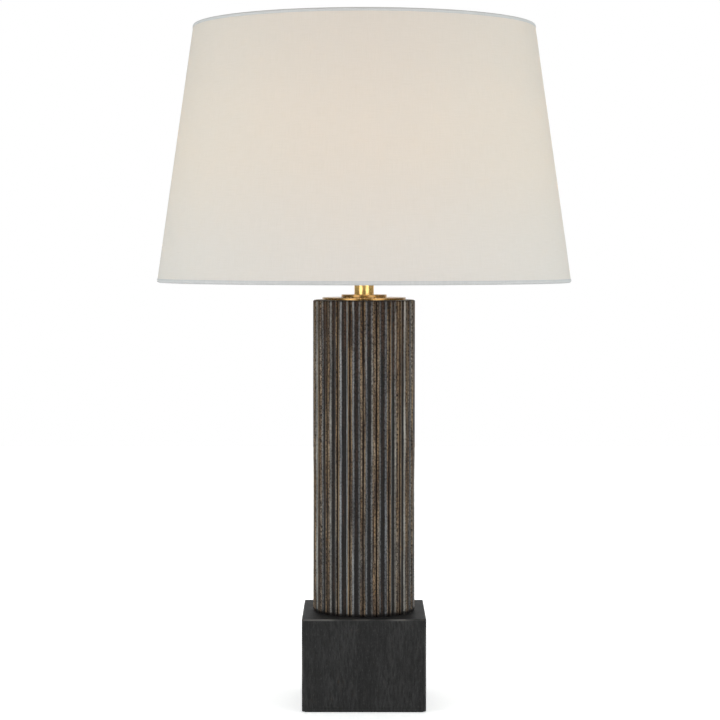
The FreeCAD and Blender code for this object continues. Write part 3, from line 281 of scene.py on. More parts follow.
class Surface:
    """One material: a tree of nodes round a Principled shader. Methods that add a node return its output."""

    def __init__(self, name, **settings):
        self.material = bpy.data.materials.new(name)
        self.material.use_nodes = True
        self.tree = self.material.node_tree
        self.tree.nodes.clear()
        self.shader = self.tree.nodes.new("ShaderNodeBsdfPrincipled")
        self.output = self.tree.nodes.new("ShaderNodeOutputMaterial")
        self.tree.links.new(self.shader.outputs["BSDF"], self.output.inputs["Surface"])
        self.set(**settings)

    def set(self, **settings):
        """Sets or links the shader's inputs, such as base_color, roughness or sheen_weight."""
        for key, value in settings.items():
            self.feed(self.shader.inputs[input_title(key)], value)

    def feed(self, socket, value):
        """Links a node's output to the socket, or writes a plain value into it."""
        if isinstance(value, bpy.types.NodeSocket):
            self.tree.links.new(value, socket)
        elif isinstance(value, tuple) and len(value) == 3 and socket.type == "RGBA":
            socket.default_value = (*value, 1.0)
        else:
            socket.default_value = value

    def node(self, kind, inputs, output=0, **settings):
        made = self.tree.nodes.new("ShaderNode" + kind)
        for key, value in settings.items():
            setattr(made, key, value)
        for key, value in inputs.items():
            self.feed(made.inputs[key], value)
        return made.outputs[output]

    def math(self, operation, a, b=0.0, c=0.0):
        return self.node("Math", {0: a, 1: b, 2: c}, operation=operation)

    def plus(self, a, b):
        return self.math("ADD", a, b)

    def minus(self, a, b):
        return self.math("SUBTRACT", a, b)

    def times(self, a, b):
        return self.math("MULTIPLY", a, b)

    def from_axis(self, x, y):
        """The distance from the lamp's axis."""
        return self.math("SQRT", self.plus(self.times(x, x), self.times(y, y)))

    def place(self):
        """The place on the object, in metres."""
        return self.node("TexCoord", {}, "Object")

    def axes(self, vector):
        """A vector's x, y and z."""
        split = self.tree.nodes.new("ShaderNodeSeparateXYZ")
        self.tree.links.new(vector, split.inputs[0])
        return split.outputs

    def vector(self, x, y, z):
        return self.node("CombineXYZ", {0: x, 1: y, 2: z})

    def noise(self, vector, scale=1.0, detail=3.0, roughness=0.5, distortion=0.0):
        """Cloudy noise. A scale of three numbers, one for each axis, draws it out along the smallest."""
        if isinstance(scale, tuple):
            vector = self.node("VectorMath", {0: vector, 1: scale}, operation="MULTIPLY")
            scale = 1.0
        inputs = {
            "Vector": vector,
            "Scale": scale,
            "Detail": detail,
            "Roughness": roughness,
            "Distortion": distortion,
        }
        return self.node("TexNoise", inputs)

    def random(self, value):
        """A number from 0 to 1 that depends only on the value."""
        return self.node("TexWhiteNoise", {"W": value}, noise_dimensions="1D")

    def step(self, value, low, high, to_low=0.0, to_high=1.0):
        """Runs smoothly from to_low to to_high while the value goes from low to high."""
        inputs = {"Value": value, "From Min": low, "From Max": high, "To Min": to_low, "To Max": to_high}
        return self.node("MapRange", inputs, interpolation_type="SMOOTHSTEP")

    def mix(self, factor, a, b):
        return self.node("MixRGB", {"Fac": factor, "Color1": a, "Color2": b}, blend_type="MIX")

    def tinted(self, a, b):
        """Two colours multiplied."""
        return self.node("MixRGB", {"Fac": 1.0, "Color1": a, "Color2": b}, blend_type="MULTIPLY")

    def bump(self, height, distance, strength=1.0):
        return self.node("Bump", {"Height": height, "Distance": distance, "Strength": strength})

    def light_path(self, ray):
        """1 for rays of that kind, such as Is Camera Ray, and otherwise 0."""
        return self.node("LightPath", {}, ray)


def input_title(key):
    """The shader's own name of an input, from a keyword: base_color is Base Color."""
    small = {"ior": "IOR"}
    return " ".join(small.get(word, word.capitalize()) for word in key.split("_"))


def colour(r, g, b):
    """A colour written in 0 to 255 as it shows, as the linear values that a shader takes."""
    parts = [v / 255 for v in (r, g, b)]
    return tuple(v / 12.92 if v <= 0.04045 else ((v + 0.055) / 1.055) ** 2.4 for v in parts)


def flutes(s, x, y):
    """By the place round the column: millimetres from the nearest joint between two lips, and a number for
    that side of that joint."""
    pitch = 2 * math.pi / FLUTE_COUNT
    angle = s.math("ARCTAN2", y, x)
    turn = s.math("DIVIDE", s.minus(angle, COLUMN_TURN - math.pi / 2), pitch)
    joint = s.math("FLOOR", s.plus(turn, 0.5))
    across = s.times(s.minus(turn, joint), pitch * COLUMN_RADIUS / MM)
    side = s.plus(s.times(joint, 2.0), s.math("GREATER_THAN", across, 0.0))
    return s.math("ABSOLUTE", across), side


def column_finish():
    """Black stain over brown wood, rubbed back to brown on each lip, with a painted highlight, a paler line,
    on the wall beyond.
    The marks' widths are named above, under Column."""
    s = Surface("column_rubbed_stain", specular_ior_level=0.15)
    place = s.place()
    x, y, z = s.axes(place)
    from_joint, side = flutes(s, x, y)
    chance = s.random(side)
    other_chance = s.random(s.plus(side, SECOND_DRAW))
    sway = s.noise(s.vector(s.times(side, 3.7), 0.0, s.times(z, 20.0)), detail=2.0)
    drift = s.noise(s.vector(s.times(side, 5.3), 4.0, s.times(z, 9.0)), detail=2.0)
    streak = s.noise(place, (560.0, 560.0, 16.0), 4.0, 0.6)
    patch = s.noise(place, (210.0, 210.0, 13.0), 3.0, 0.55)
    grain = s.noise(place, (740.0, 740.0, 460.0), 4.0, 0.75)

    # The stain: brown beside the lip, grey past the painted highlight, and black in the flute
    wander = s.math("MULTIPLY_ADD", s.minus(sway, 0.5), HIGHLIGHT_WANDER, from_joint)
    from_highlight = s.minus(wander, s.math("MULTIPLY_ADD", chance, HIGHLIGHT_SPREAD, HIGHLIGHT_NEAREST))
    redder_above = s.step(z, *REDDENING_HEIGHTS, 0.0, 0.25)
    red = s.step(s.plus(patch, redder_above), 0.5, 0.8, 0.0, 0.8)
    pale = s.step(streak, 0.35, 0.65)
    black = s.mix(red, colour(20, 18, 17), colour(58, 41, 30))
    brown = s.mix(pale, colour(70, 53, 40), colour(116, 97, 74))
    grey = s.mix(pale, colour(70, 67, 64), colour(108, 104, 98))
    brown = s.mix(s.step(drift, 0.4, 0.7), brown, grey)
    tone = s.mix(s.step(from_highlight, *BLACK_EDGE), black, colour(70, 72, 75))
    tone = s.mix(s.step(from_highlight, *BROWN_EDGE), tone, brown)
    speck = s.step(grain, 0.34, 0.66, 0.05, 2.3)
    tone = s.tinted(tone, s.vector(speck, speck, speck))

    # The painted highlight on each wall: a pale line that stands in for the soft boxes' reflection
    strength = s.step(s.plus(other_chance, s.times(sway, 1.4)), 0.75, 1.7, 0.15, 1.0)
    strength = s.times(strength, s.step(grain, 0.32, 0.62, 0.55, 1.15))
    painted_highlight = s.times(s.step(s.math("ABSOLUTE", from_highlight), *HIGHLIGHT_EDGE), strength)
    tone = s.mix(painted_highlight, tone, s.mix(chance, colour(160, 164, 167), colour(186, 178, 162)))

    # The rubbed lip, the dark joint (partly painted shade of its groove), stain left in the streaks, and
    # painted shade at both ends of the column
    lip = s.times(s.step(from_joint, *LIP_OUTER_EDGE), s.step(from_joint, *LIP_INNER_EDGE))
    rubbed = s.step(s.plus(streak, s.times(other_chance, 0.3)), 0.5, 0.9)
    tone = s.mix(s.times(lip, rubbed), tone, colour(126, 106, 80))
    # The dark joint: dark brown in the groove, deepened by painted shade of the groove
    tone = s.mix(s.step(from_joint, *JOINT_EDGE), tone, colour(38, 27, 19))
    tone = s.mix(s.step(streak, 0.32, 0.7, 0.6, 0.0), tone, colour(28, 25, 23))
    # Painted shade: darker bands at the top, under the cap plate, and at the foot, where the column meets
    # the plinth
    from_top = s.minus(COLUMN_HIGH.z + TOP_END_SHIFT, z)
    from_end = s.math("MINIMUM", s.minus(z, COLUMN_LOW.z), from_top)
    tone = s.mix(s.step(from_end, *END_SHADE_EDGE, 0.0, 0.9), tone, colour(16, 14, 13))

    height = s.plus(s.times(streak, 0.6), s.times(grain, 0.4))
    s.set(
        base_color=tone,
        roughness=s.step(grain, 0.3, 0.7, 0.34, 0.52),
        normal=s.bump(height, 0.2 * MM, 0.7),
    )
    return s.material


def from_plinth_edge(s, x, y, z):
    """The distance to the nearest edge of the plinth, for a place on one of its faces."""
    in_x = s.minus(PLINTH_HIGH.x, s.math("ABSOLUTE", x))
    in_y = s.minus(PLINTH_HIGH.x, s.math("ABSOLUTE", y))
    in_z = s.minus(PLINTH_HIGH.z, z)
    upright = s.math("MAXIMUM", in_x, in_y)
    level = s.math("MINIMUM", s.math("MAXIMUM", in_y, in_z), s.math("MAXIMUM", in_x, in_z))
    return s.math("MINIMUM", upright, level)


def ebonised_wood(name, along, shine):
    """Black stained open grain that runs along one axis, with the edges of the plinth rubbed paler."""

    def drawn_out(share):
        """A scale that draws noise out along the grain."""
        return tuple(share * (100.0 if axis == along else 600.0) for axis in "xyz")

    s = Surface(name, specular_ior_level=shine)
    place = s.place()
    x, y, z = s.axes(place)
    wavy = s.noise(place, 30.0, 2.0)
    grain = s.noise(place, drawn_out(1.0), 4.0, 0.66, 0.35)
    pores = s.noise(place, drawn_out(2.4), 2.0, 0.5)
    bands = s.noise(place, drawn_out(0.09), 4.0, 0.6)
    rub = s.noise(place, 900.0, 3.0, 0.7)

    tone = s.mix(s.step(grain, 0.3, 0.7), colour(17, 17, 17), colour(46, 46, 46))
    tone = s.mix(s.step(bands, 0.4, 0.66, 0.0, 0.55), tone, colour(14, 14, 14))
    tone = s.mix(s.step(pores, 0.58, 0.76, 0.0, 0.5), tone, colour(66, 66, 66))
    tone = s.mix(s.step(rub, 0.52, 0.78, 0.0, 0.4), tone, colour(62, 61, 60))
    near_edge = s.step(from_plinth_edge(s, x, y, z), *WORN_EDGE)
    worn = s.times(near_edge, s.step(wavy, 0.38, 0.62, 0.1, 1.0))
    tone = s.mix(worn, tone, colour(88, 86, 84))

    height = s.plus(grain, s.times(pores, 0.5))
    s.set(
        base_color=tone,
        roughness=s.step(grain, 0.25, 0.75, 0.5, 0.66),
        normal=s.bump(height, 0.3 * MM, 0.7),
    )
    return s.material


def plain_wood():
    """Bare plywood and softwood, hidden inside the plinth."""
    s = Surface("bare_wood", specular_ior_level=0.3)
    place = s.place()
    grain = s.noise(place, (40.0, 500.0, 500.0), 4.0, 0.6, 0.4)
    tone = s.mix(s.step(grain, 0.3, 0.7), colour(196, 160, 112), colour(160, 122, 78))
    s.set(base_color=tone, roughness=0.7, normal=s.bump(grain, 0.15 * MM))
    return s.material


def turned_metal(name, light, dark, roughness, marks=2600.0):
    """Metal with fine lathe marks round the axis and a soft, uneven patina."""
    s = Surface(name, metallic=1.0, coat_weight=0.4, coat_roughness=0.15)
    place = s.place()
    x, y, z = s.axes(place)
    rings = s.noise(s.vector(s.times(s.from_axis(x, y), marks), 0.0, s.times(z, marks)), detail=2.0)
    cloud = s.noise(place, 70.0, 4.0, 0.6)
    tarnish = s.noise(place, 420.0, 3.0, 0.65)
    tone = s.mix(s.step(cloud, 0.3, 0.75), light, dark)
    tone = s.mix(s.step(tarnish, 0.62, 0.8, 0.0, 0.15), tone, tuple(v * 0.6 for v in dark))
    s.set(
        base_color=tone,
        roughness=s.step(s.plus(rings, tarnish), 0.6, 1.4, roughness * 0.8, roughness * 1.25),
        normal=s.bump(rings, 0.02 * MM, 0.5),
    )
    return s.material


def drawn_metal(name, light, dark, roughness):
    """Rolled, drawn or plated metal with faint scuffs."""
    s = Surface(name, metallic=1.0)
    place = s.place()
    cloud = s.noise(place, (90.0, 90.0, 40.0), 3.0, 0.6)
    scuffs = s.noise(place, (1400.0, 1400.0, 300.0), 3.0, 0.7)
    tone = s.mix(s.step(cloud, 0.3, 0.7), light, dark)
    s.set(
        base_color=tone,
        roughness=s.step(scuffs, 0.3, 0.75, roughness * 0.75, roughness * 1.4),
        normal=s.bump(scuffs, 0.02 * MM, 0.4),
    )
    return s.material


def cast_iron():
    """Painted cast iron with a pitted skin."""
    s = Surface("cast_iron_paint", metallic=0.0, specular_ior_level=0.4)
    place = s.place()
    pits = s.noise(place, 500.0, 4.0, 0.7)
    tone = s.mix(s.step(pits, 0.35, 0.7), colour(40, 40, 41), colour(62, 60, 58))
    s.set(base_color=tone, roughness=0.7, normal=s.bump(pits, 0.4 * MM))
    return s.material


def moulded_plastic(name, base, roughness):
    """A hard moulded or sprayed skin with faint flow marks and a fine grit."""
    s = Surface(name)
    place = s.place()
    swirl = s.noise(place, 160.0, 2.0)
    grit = s.noise(place, 3000.0, 2.0)
    tone = s.mix(s.step(swirl, 0.3, 0.7), base, tuple(v * 1.5 + 0.004 for v in base))
    s.set(
        base_color=tone,
        roughness=s.step(grit, 0.3, 0.7, roughness * 0.85, roughness * 1.2),
        normal=s.bump(grit, 0.02 * MM, 0.5),
    )
    return s.material


def pressed_card():
    """Brown insulating card with its fibres showing."""
    s = Surface("pressed_card", specular_ior_level=0.2)
    place = s.place()
    fibres = s.noise(place, 900.0, 4.0, 0.7, 1.0)
    tone = s.mix(s.step(fibres, 0.3, 0.7), colour(139, 111, 76), colour(104, 80, 52))
    s.set(base_color=tone, roughness=0.85, normal=s.bump(fibres, 0.1 * MM))
    return s.material


def felt_finish():
    """Black wool felt."""
    s = Surface("wool_felt", specular_ior_level=0.1, sheen_weight=0.3, sheen_roughness=0.6)
    place = s.place()
    wool = s.noise(place, 1300.0, 4.0, 0.75, 1.5)
    tone = s.mix(s.step(wool, 0.3, 0.7), colour(22, 22, 23), colour(48, 48, 49))
    s.set(base_color=tone, roughness=0.95, normal=s.bump(wool, 0.3 * MM))
    return s.material


def woven(name, pale, deep, pitch):
    """Plain-weave linen with slubs, drawn by height and by the length round the shade. Returns the surface,
    its tone and the height."""
    s = Surface(name, roughness=0.85, specular_ior_level=0.15)
    place = s.place()
    x, y, z = s.axes(place)
    angle = s.math("ARCTAN2", y, s.times(x, -1.0))
    round_length = s.times(angle, (SHADE_TOP_RADIUS + SHADE_BOTTOM_RADIUS) / 2)
    drift = s.times(s.noise(place, 60.0, 2.0), THREAD_DRIFT)

    def thread_wave(length):
        return s.math("SINE", s.times(s.plus(length, drift), 2 * math.pi / pitch))

    def slub(round_scale, seed, height_scale):
        drawn = s.vector(s.times(round_length, round_scale), seed, s.times(z, height_scale))
        return s.noise(drawn, detail=3.0, roughness=0.6)

    cross = s.times(thread_wave(round_length), thread_wave(z))
    slubs = s.plus(slub(55.0, 0.0, 1500.0), slub(1500.0, 9.0, 55.0))
    tone = s.mix(s.step(slubs, 0.75, 1.3), pale, deep)
    tone = s.mix(s.step(cross, -1.0, 1.0, 0.0, 0.08), tone, deep)
    height = s.plus(s.times(cross, 0.5), slubs)
    s.set(base_color=tone, normal=s.bump(height, 0.12 * MM, 0.3))
    return s, tone, z


def shade_linen():
    """Off-white linen that lets some of the bulb's warm light through. Its tone holds painted light: a warm
    painted glow at the bulb's height, and painted shade, a little darker and cooler, towards the edges of
    the shade."""
    s, tone, z = woven("shade_linen", colour(236, 229, 220), colour(232, 225, 215), LINEN_THREAD_PITCH)
    # Painted light: a warm painted glow at the bulb's height, fading to painted shade at the top and bottom
    at_bottom, at_painted_glow, at_top = (0.915, 0.938, 0.97), (0.955, 0.94, 0.92), (0.90, 0.895, 0.89)
    painted_glow_and_shade = s.mix(s.step(z, SHADE_BOTTOM_Z, PAINTED_GLOW_Z), at_bottom, at_painted_glow)
    painted_glow_and_shade = s.mix(s.step(z, PAINTED_GLOW_Z, SHADE_TOP_Z), painted_glow_and_shade, at_top)
    tone = s.tinted(tone, painted_glow_and_shade)
    s.set(base_color=tone)
    return with_translucence(s, tone, 0.15, colour(255, 240, 222))


def trim_linen():
    """Greyer linen tape, with a painted shadow line along the top of the shade."""
    s, tone, z = woven("trim_linen", colour(206, 205, 204), colour(195, 194, 193), TAPE_THREAD_PITCH)
    # Painted shade: an olive-grey shadow line along the top of the tape, where its roll catches less light
    painted_shadow_line = s.step(z, *(SHADE_TOP_Z - depth for depth in TAPE_SHADOW_DEPTH), 0.0, 0.7)
    s.set(base_color=s.mix(painted_shadow_line, tone, colour(176, 172, 160)))
    return s.material


def liner_finish():
    """The smooth white backing inside the shade."""
    s = Surface("white_backing", roughness=0.45, specular_ior_level=0.4)
    place = s.place()
    haze = s.noise(place, 160.0, 4.0, 0.6)
    fibres = s.noise(place, 900.0, 3.0, 0.6)
    tone = s.mix(s.step(haze, 0.3, 0.7), colour(236, 233, 227), colour(231, 228, 221))
    s.set(base_color=tone, normal=s.bump(fibres, 0.04 * MM))
    return with_translucence(s, tone, 0.4, colour(255, 250, 244))


def glue_film():
    """The clear glued faces between linen and backing, which pass nearly all the light."""
    s = Surface("glue_film", roughness=0.6, specular_ior_level=0.1)
    place = s.place()
    haze = s.noise(place, 60.0)
    tone = s.mix(s.step(haze, 0.3, 0.7), colour(250, 249, 247), colour(246, 244, 240))
    s.set(base_color=tone)
    return with_translucence(s, tone, 0.9, colour(255, 254, 252))


def with_translucence(s, tone, share, tint):
    """Mixes in light that comes through from the other side, coloured by the tint."""
    through = s.node("BsdfTranslucent", {"Color": s.tinted(tone, tint)})
    mixed = s.node("MixShader", {0: share, 1: s.shader.outputs["BSDF"], 2: through})
    s.tree.links.new(mixed, s.output.inputs["Surface"])
    return s.material


def frosted_glass():
    """Opal glass, lit from inside and a little dimmer towards its neck."""
    s = Surface("frosted_glass", base_color=colour(236, 231, 222), roughness=0.35)
    place = s.place()
    z = s.axes(place)["Z"]
    haze = s.noise(place, 120.0)
    lit = s.step(z, BULB_LOW.z, BULB_LOW.z + 0.6 * (BULB_HIGH.z - BULB_LOW.z), 0.15, 1.0)
    warm = s.mix(s.step(haze, 0.3, 0.7), colour(255, 240, 224), colour(255, 243, 229))
    to_camera = s.light_path("Is Camera Ray")
    strength = s.math("MULTIPLY_ADD", to_camera, BULB_SEEN - BULB_STRENGTH, BULB_STRENGTH)
    s.set(emission_color=s.tinted(warm, s.vector(lit, lit, lit)), emission_strength=strength)
    return s.material


# Dressing


def dress_nodes():
    """Gives every rigid node its finish, by its own name or by the record's material slot. Returns the
    finishes by slot."""
    by_slot = {
        "ebonised_wood": ebonised_wood("ebonised_walls", "z", 0.22),
        "column_wood": column_finish(),
        "plain_wood": plain_wood(),
        "felt": felt_finish(),
        "weight_iron": cast_iron(),
        "antique_brass": turned_metal("antique_brass", colour(238, 200, 124), colour(226, 184, 108), 0.24),
        "holder_brass": turned_metal(
            "holder_brass", colour(226, 186, 112), colour(204, 160, 90), 0.2, marks=1500.0
        ),
        "harp_brass": drawn_metal("plated_wire", colour(222, 182, 112), colour(196, 152, 84), 0.24),
        "contact_brass": drawn_metal("contact_brass", colour(224, 186, 116), colour(198, 158, 92), 0.28),
        "contact_tin": drawn_metal("solder_tin", colour(196, 196, 192), colour(170, 170, 166), 0.4),
        "cap_aluminium": drawn_metal("rolled_aluminium", colour(214, 214, 216), colour(196, 196, 200), 0.25),
        "zinc_steel": drawn_metal("zinc_plate", colour(192, 192, 188), colour(164, 164, 160), 0.32),
        "wood_screws": drawn_metal("screw_zinc", colour(190, 190, 186), colour(160, 160, 158), 0.35),
        "stem_steel": drawn_metal("turned_steel", colour(186, 186, 184), colour(160, 160, 160), 0.3),
        "ring_steel": moulded_plastic("white_powder_coat", colour(226, 224, 218), 0.4),
        "outlet_plastic": moulded_plastic("outlet_nylon", colour(30, 30, 31), 0.5),
        "moulded_black": moulded_plastic("moulded_black", colour(24, 24, 24), 0.28),
        "cap_insulator": moulded_plastic("vitrified_black", colour(26, 26, 30), 0.15),
        "sleeve_card": pressed_card(),
        "frosted_glass": frosted_glass(),
    }
    # A darker copy of the antique brass for the two plates: painted shade
    shaded_plate_brass = turned_metal("shaded_plate_brass", colour(180, 144, 86), colour(160, 125, 72), 0.24)
    by_node = {
        "plinth_top": ebonised_wood("ebonised_top", "x", 0.12),
        "cap_plate": shaded_plate_brass,
        "collar_plate": shaded_plate_brass,
    }
    for part in frame["record"]["subparts"]:
        finish = by_node.get(part["node"]) or by_slot.get(part["material_slot"])
        if finish:
            give(frame["nodes"][part["node"]], finish)
    return by_slot


def give(piece, *materials):
    """Sets a piece's materials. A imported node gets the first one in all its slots."""
    if piece.data.materials:
        for k in range(len(piece.data.materials)):
            piece.data.materials[k] = materials[0]
    else:
        for material in materials:
            piece.data.materials.append(material)


# Shade


def linen_cover():
    """The linen: a sheet wrapped round the backing, with one end lapped over the other at the back."""
    lap = LAP_WIDTH / SHADE_BOTTOM_RADIUS
    rise = LAP_RISE / SHADE_BOTTOM_RADIUS
    start = math.pi / 2 - lap / 2
    end = start + 2 * math.pi
    angles = [start + 2 * math.pi * k / SHADE_SEGMENTS for k in range(SHADE_SEGMENTS)]
    angles += [end, end + rise, end + lap / 2, end + lap - rise, end + lap]
    run = SHADE_SLANT - 2 * LINEN_MARGIN
    rows = [LINEN_MARGIN + run * k / LINEN_HEIGHT_STEPS for k in range(LINEN_HEIGHT_STEPS + 1)]
    points = []
    for angle in angles:
        climbed = min(1.0, max(0.0, (angle - (end - rise)) / rise))
        face = climbed * (LINEN_THICKNESS + LAP_GAP) - LINEN_SINK
        for side in (face, face - LINEN_THICKNESS):
            for along in rows:
                wave = math.sin(angle * RIPPLES_ROUND + along * RIPPLE_SKEW)
                wave *= math.sin(along * RIPPLE_RATE + RIPPLE_START)
                r, z = shade_point(along, side + LINEN_RIPPLE * wave)
                points.append((r * math.cos(angle), r * math.sin(angle), z))
    return new_piece("linen_cover", points, sheet_faces(len(angles), len(rows)))


def shade_liner():
    """The stiff white backing under the linen."""
    run = SHADE_SLANT - 2 * LINER_MARGIN
    rows = [LINER_MARGIN + run * k / LINER_HEIGHT_STEPS for k in range(LINER_HEIGHT_STEPS + 1)]
    outline = [shade_point(along, -LINER_DEPTH) for along in rows]
    outline += [shade_point(along, -PANEL_THICKNESS) for along in reversed(rows)]
    return turned("shade_liner", outline, LINER_SEGMENTS)


def edge_tape(name, from_top):
    """Linen tape rolled over the edge of the shade and the wire inside it. Its two sides are points of (way
    along the slant, way out)."""
    outer = TAPE_PROUD
    inner = -PANEL_THICKNESS - WIRE_ROOM
    middle = (outer + inner) / 2
    half = (outer - inner) / 2
    crown = half * 0.9  # length of its round part
    pinch = outer * 0.55  # where the outer leg's end is pulled down to the linen
    arc = [math.pi / 2 - math.pi * k / TAPE_CROWN_STEPS for k in range(1, TAPE_CROWN_STEPS)]

    front = [(TAPE_OUTER_LEG, pinch), (TAPE_OUTER_LEG * 0.7, outer), (crown, outer)]
    front += [(crown - crown * math.cos(a), middle + half * math.sin(a)) for a in arc]
    front += [(crown, inner), (TAPE_INNER_LEG, inner)]

    thick = TAPE_THICKNESS
    back = [(along + 0.02 * MM, inner + thick) for along in (TAPE_INNER_LEG, crown)]
    for a in reversed(arc):
        back.append((crown - (crown - thick) * math.cos(a), middle + (half - thick) * math.sin(a)))
    back += [(crown, outer - thick), (TAPE_OUTER_LEG, pinch - thick * 0.6)]

    outline = [shade_point(along, out, from_top) for along, out in front + back]
    if not from_top:
        outline.reverse()
    return turned(name, outline, SHADE_SEGMENTS)


def film_faces(piece, glued):
    """Gives the second material to the faces whose place across the shade's wall is glued."""
    sin, cos = math.sin(SHADE_LEAN), math.cos(SHADE_LEAN)
    for face in piece.data.polygons:
        x, y, z = face.center
        out = (math.hypot(x, y) - SHADE_TOP_RADIUS) * cos - (SHADE_TOP_Z - z) * sin + TAPE_THICKNESS
        if glued(out):
            face.material_index = 1


def build_shade():
    """Linen, backing and rolled edges, in the place of the shade's plain panel and trims."""
    cover, liner = linen_cover(), shade_liner()
    tapes = [edge_tape("top_tape", True), edge_tape("bottom_tape", False)]
    film = glue_film()
    give(cover, shade_linen(), film)
    give(liner, liner_finish(), film)
    film_faces(cover, lambda out: out < -LINEN_SINK - LINEN_THICKNESS / 2)
    film_faces(liner, lambda out: out > -(LINEN_THICKNESS + PANEL_THICKNESS) / 2)
    tape_finish = trim_linen()
    for piece in (cover, liner, *tapes):
        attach(piece, "shade")
    for piece in (cover, liner):
        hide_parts("shade_panel")
    for piece, node in zip(tapes, ("shade_top_trim", "shade_bottom_trim")):
        give(piece, tape_finish)
        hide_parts(node)


# Felt


def felt_sheet():
    """The felt under the plinth, with rounded corners and soft edges."""
    outline = []
    for quarter, (sx, sy) in enumerate(((1, 1), (-1, 1), (-1, -1), (1, -1))):
        corner = (sx * (FELT_HIGH.x - FELT_CORNER_RADIUS), sy * (FELT_HIGH.y - FELT_CORNER_RADIUS))
        for k in range(FELT_CORNER_STEPS + 1):
            a = math.pi / 2 * (quarter + k / FELT_CORNER_STEPS)
            outline.append((*corner, math.cos(a), math.sin(a)))
    low, high, soft = FELT_LOW.z, FELT_HIGH.z, FELT_SOFT_EDGE
    layers = [(soft, low), (0.0, low + soft), (0.0, high - soft), (soft * 0.6, high)]
    points, faces = [], []
    for inset, z in layers:
        reach = FELT_CORNER_RADIUS - inset
        points += [(cx + reach * dx, cy + reach * dy, z) for cx, cy, dx, dy in outline]
    count = len(outline)
    for layer in range(len(layers) - 1):
        for k in range(count):
            a, b = layer * count + k, layer * count + (k + 1) % count
            faces.append((a, b, b + count, a + count))
    faces.append(tuple(reversed(range(count))))
    faces.append(tuple(range(len(points) - count, len(points))))
    return new_piece("felt_sheet", points, faces)


def build_felt(finish):
    """The felt, in the place of its plain solid."""
    felt = felt_sheet()
    give(felt, finish)
    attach(felt, "base")
    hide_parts("felt_pad")


# Threads


def bulb_screw():
    """The bulb's screw cap, rolled from thin metal, with a plain skirt round the neck of the glass."""
    base, top, r = CAP_LOW.z, CAP_HIGH.z, CAP_HIGH.x
    inner = r - CAP_WALL
    rows = levels(base + CAP_CORNER_HEIGHT, base + CAP_THREADED_HEIGHT, CAP_PITCH / ROWS_PER_TURN)
    outer_corner = [(r - 1.3 * MM, base), (r - 0.5 * MM, base + 0.4 * MM)]
    inner_corner = [(r - 1.4 * MM, base + CAP_WALL)]
    skirt_end = [(r, top - 0.5 * MM), (r - CAP_ROLL, top), (inner - CAP_ROLL, top)]
    skirt_end += [(inner - CAP_ROLL, top - 1.0 * MM), (inner, top - 2.0 * MM)]
    outline = [(CONTACT_HOLE_RADIUS, base)] + outer_corner + [(r, z) for z in rows] + skirt_end
    outline += [(inner, z) for z in reversed(rows)] + inner_corner + [(CONTACT_HOLE_RADIUS, base + CAP_WALL)]
    wave = screw_wave(CAP_PITCH, CAP_THREAD_DEPTH, rows[0], rows[-1])
    return turned("bulb_screw_cap", outline, SCREW_SEGMENTS, wave)


def holder_screw():
    """The lampholder's screw shell, rolled from thin brass."""
    base, top = HOLDER_SCREW_LOW.z, HOLDER_SCREW_HIGH.z
    inner, wall = HOLDER_SCREW_RADIUS, HOLDER_SCREW_WALL
    outer = inner + wall
    rows = levels(base + HOLDER_PLAIN_END, top - HOLDER_PLAIN_END, CAP_PITCH / ROWS_PER_TURN)
    outer_corner = [(outer - HOLDER_FLOOR_BEVEL, base), (outer, base + HOLDER_FLOOR_BEVEL)]
    inner_corner = [(inner - HOLDER_INNER_BEVEL, base + wall)]
    rim_low = top - HOLDER_RIM_ROUND
    rim = [(outer, rim_low), (inner + wall / 2, top), (inner, rim_low)]
    outline = [(HOLDER_FLOOR_HOLE, base)] + outer_corner + [(outer, z) for z in rows] + rim
    outline += [(inner, z) for z in reversed(rows)] + inner_corner + [(HOLDER_FLOOR_HOLE, base + wall)]
    wave = screw_wave(CAP_PITCH, HOLDER_THREAD_DEPTH, rows[0], rows[-1])
    return turned("holder_screw_shell", outline, SCREW_SEGMENTS, wave)


def threaded_stud():
    """The stud of the harp: its rivet, its flange and its fine thread, which runs right to the tip."""
    low, tip, flange = STUD_LOW.z, STUD_HIGH.z, STUD_HIGH.x
    seat = tip - STUD_THREADED_HEIGHT
    under = seat - STUD_FLANGE_THICKNESS
    r, bevel = STUD_THREAD_RADIUS, STUD_FLANGE_BEVEL
    rows = levels(seat + STUD_RUN_IN, tip - STUD_TIP_BEVEL, STUD_PITCH / STUD_ROWS_PER_TURN)
    outline = [(RIVET_RADIUS - RIVET_BEVEL, low), (RIVET_RADIUS, low + RIVET_BEVEL)]
    outline += [(RIVET_RADIUS, low + RIVET_HEIGHT), (r, low + RIVET_HEIGHT)]
    outline += [(r, under), (flange - bevel, under), (flange, under + bevel)]
    outline += [(flange, seat - bevel), (flange - bevel, seat), (r, seat)]
    outline += [(r, z) for z in rows] + [(r - STUD_TIP_BEVEL, tip)]
    wave = screw_wave(STUD_PITCH, STUD_THREAD_DEPTH, rows[0], tip + STUD_PITCH)
    return turned("threaded_stud", outline, STUD_SEGMENTS, wave, solid=True)


def shell_bead(name, z):
    """A half-round bead pressed out of the lampholder's shell."""
    root = HOLDER_SHELL_RADIUS - BEAD_ROOT
    outline = [(root, z - BEAD_HALF)]
    for k in range(BEAD_STEPS + 1):
        a = math.pi * k / BEAD_STEPS - math.pi / 2
        outline.append((HOLDER_SHELL_RADIUS + BEAD_PROUD * math.cos(a), z + BEAD_HALF * math.sin(a)))
    outline.append((root, z + BEAD_HALF))
    return turned(name, outline, BEAD_SEGMENTS)


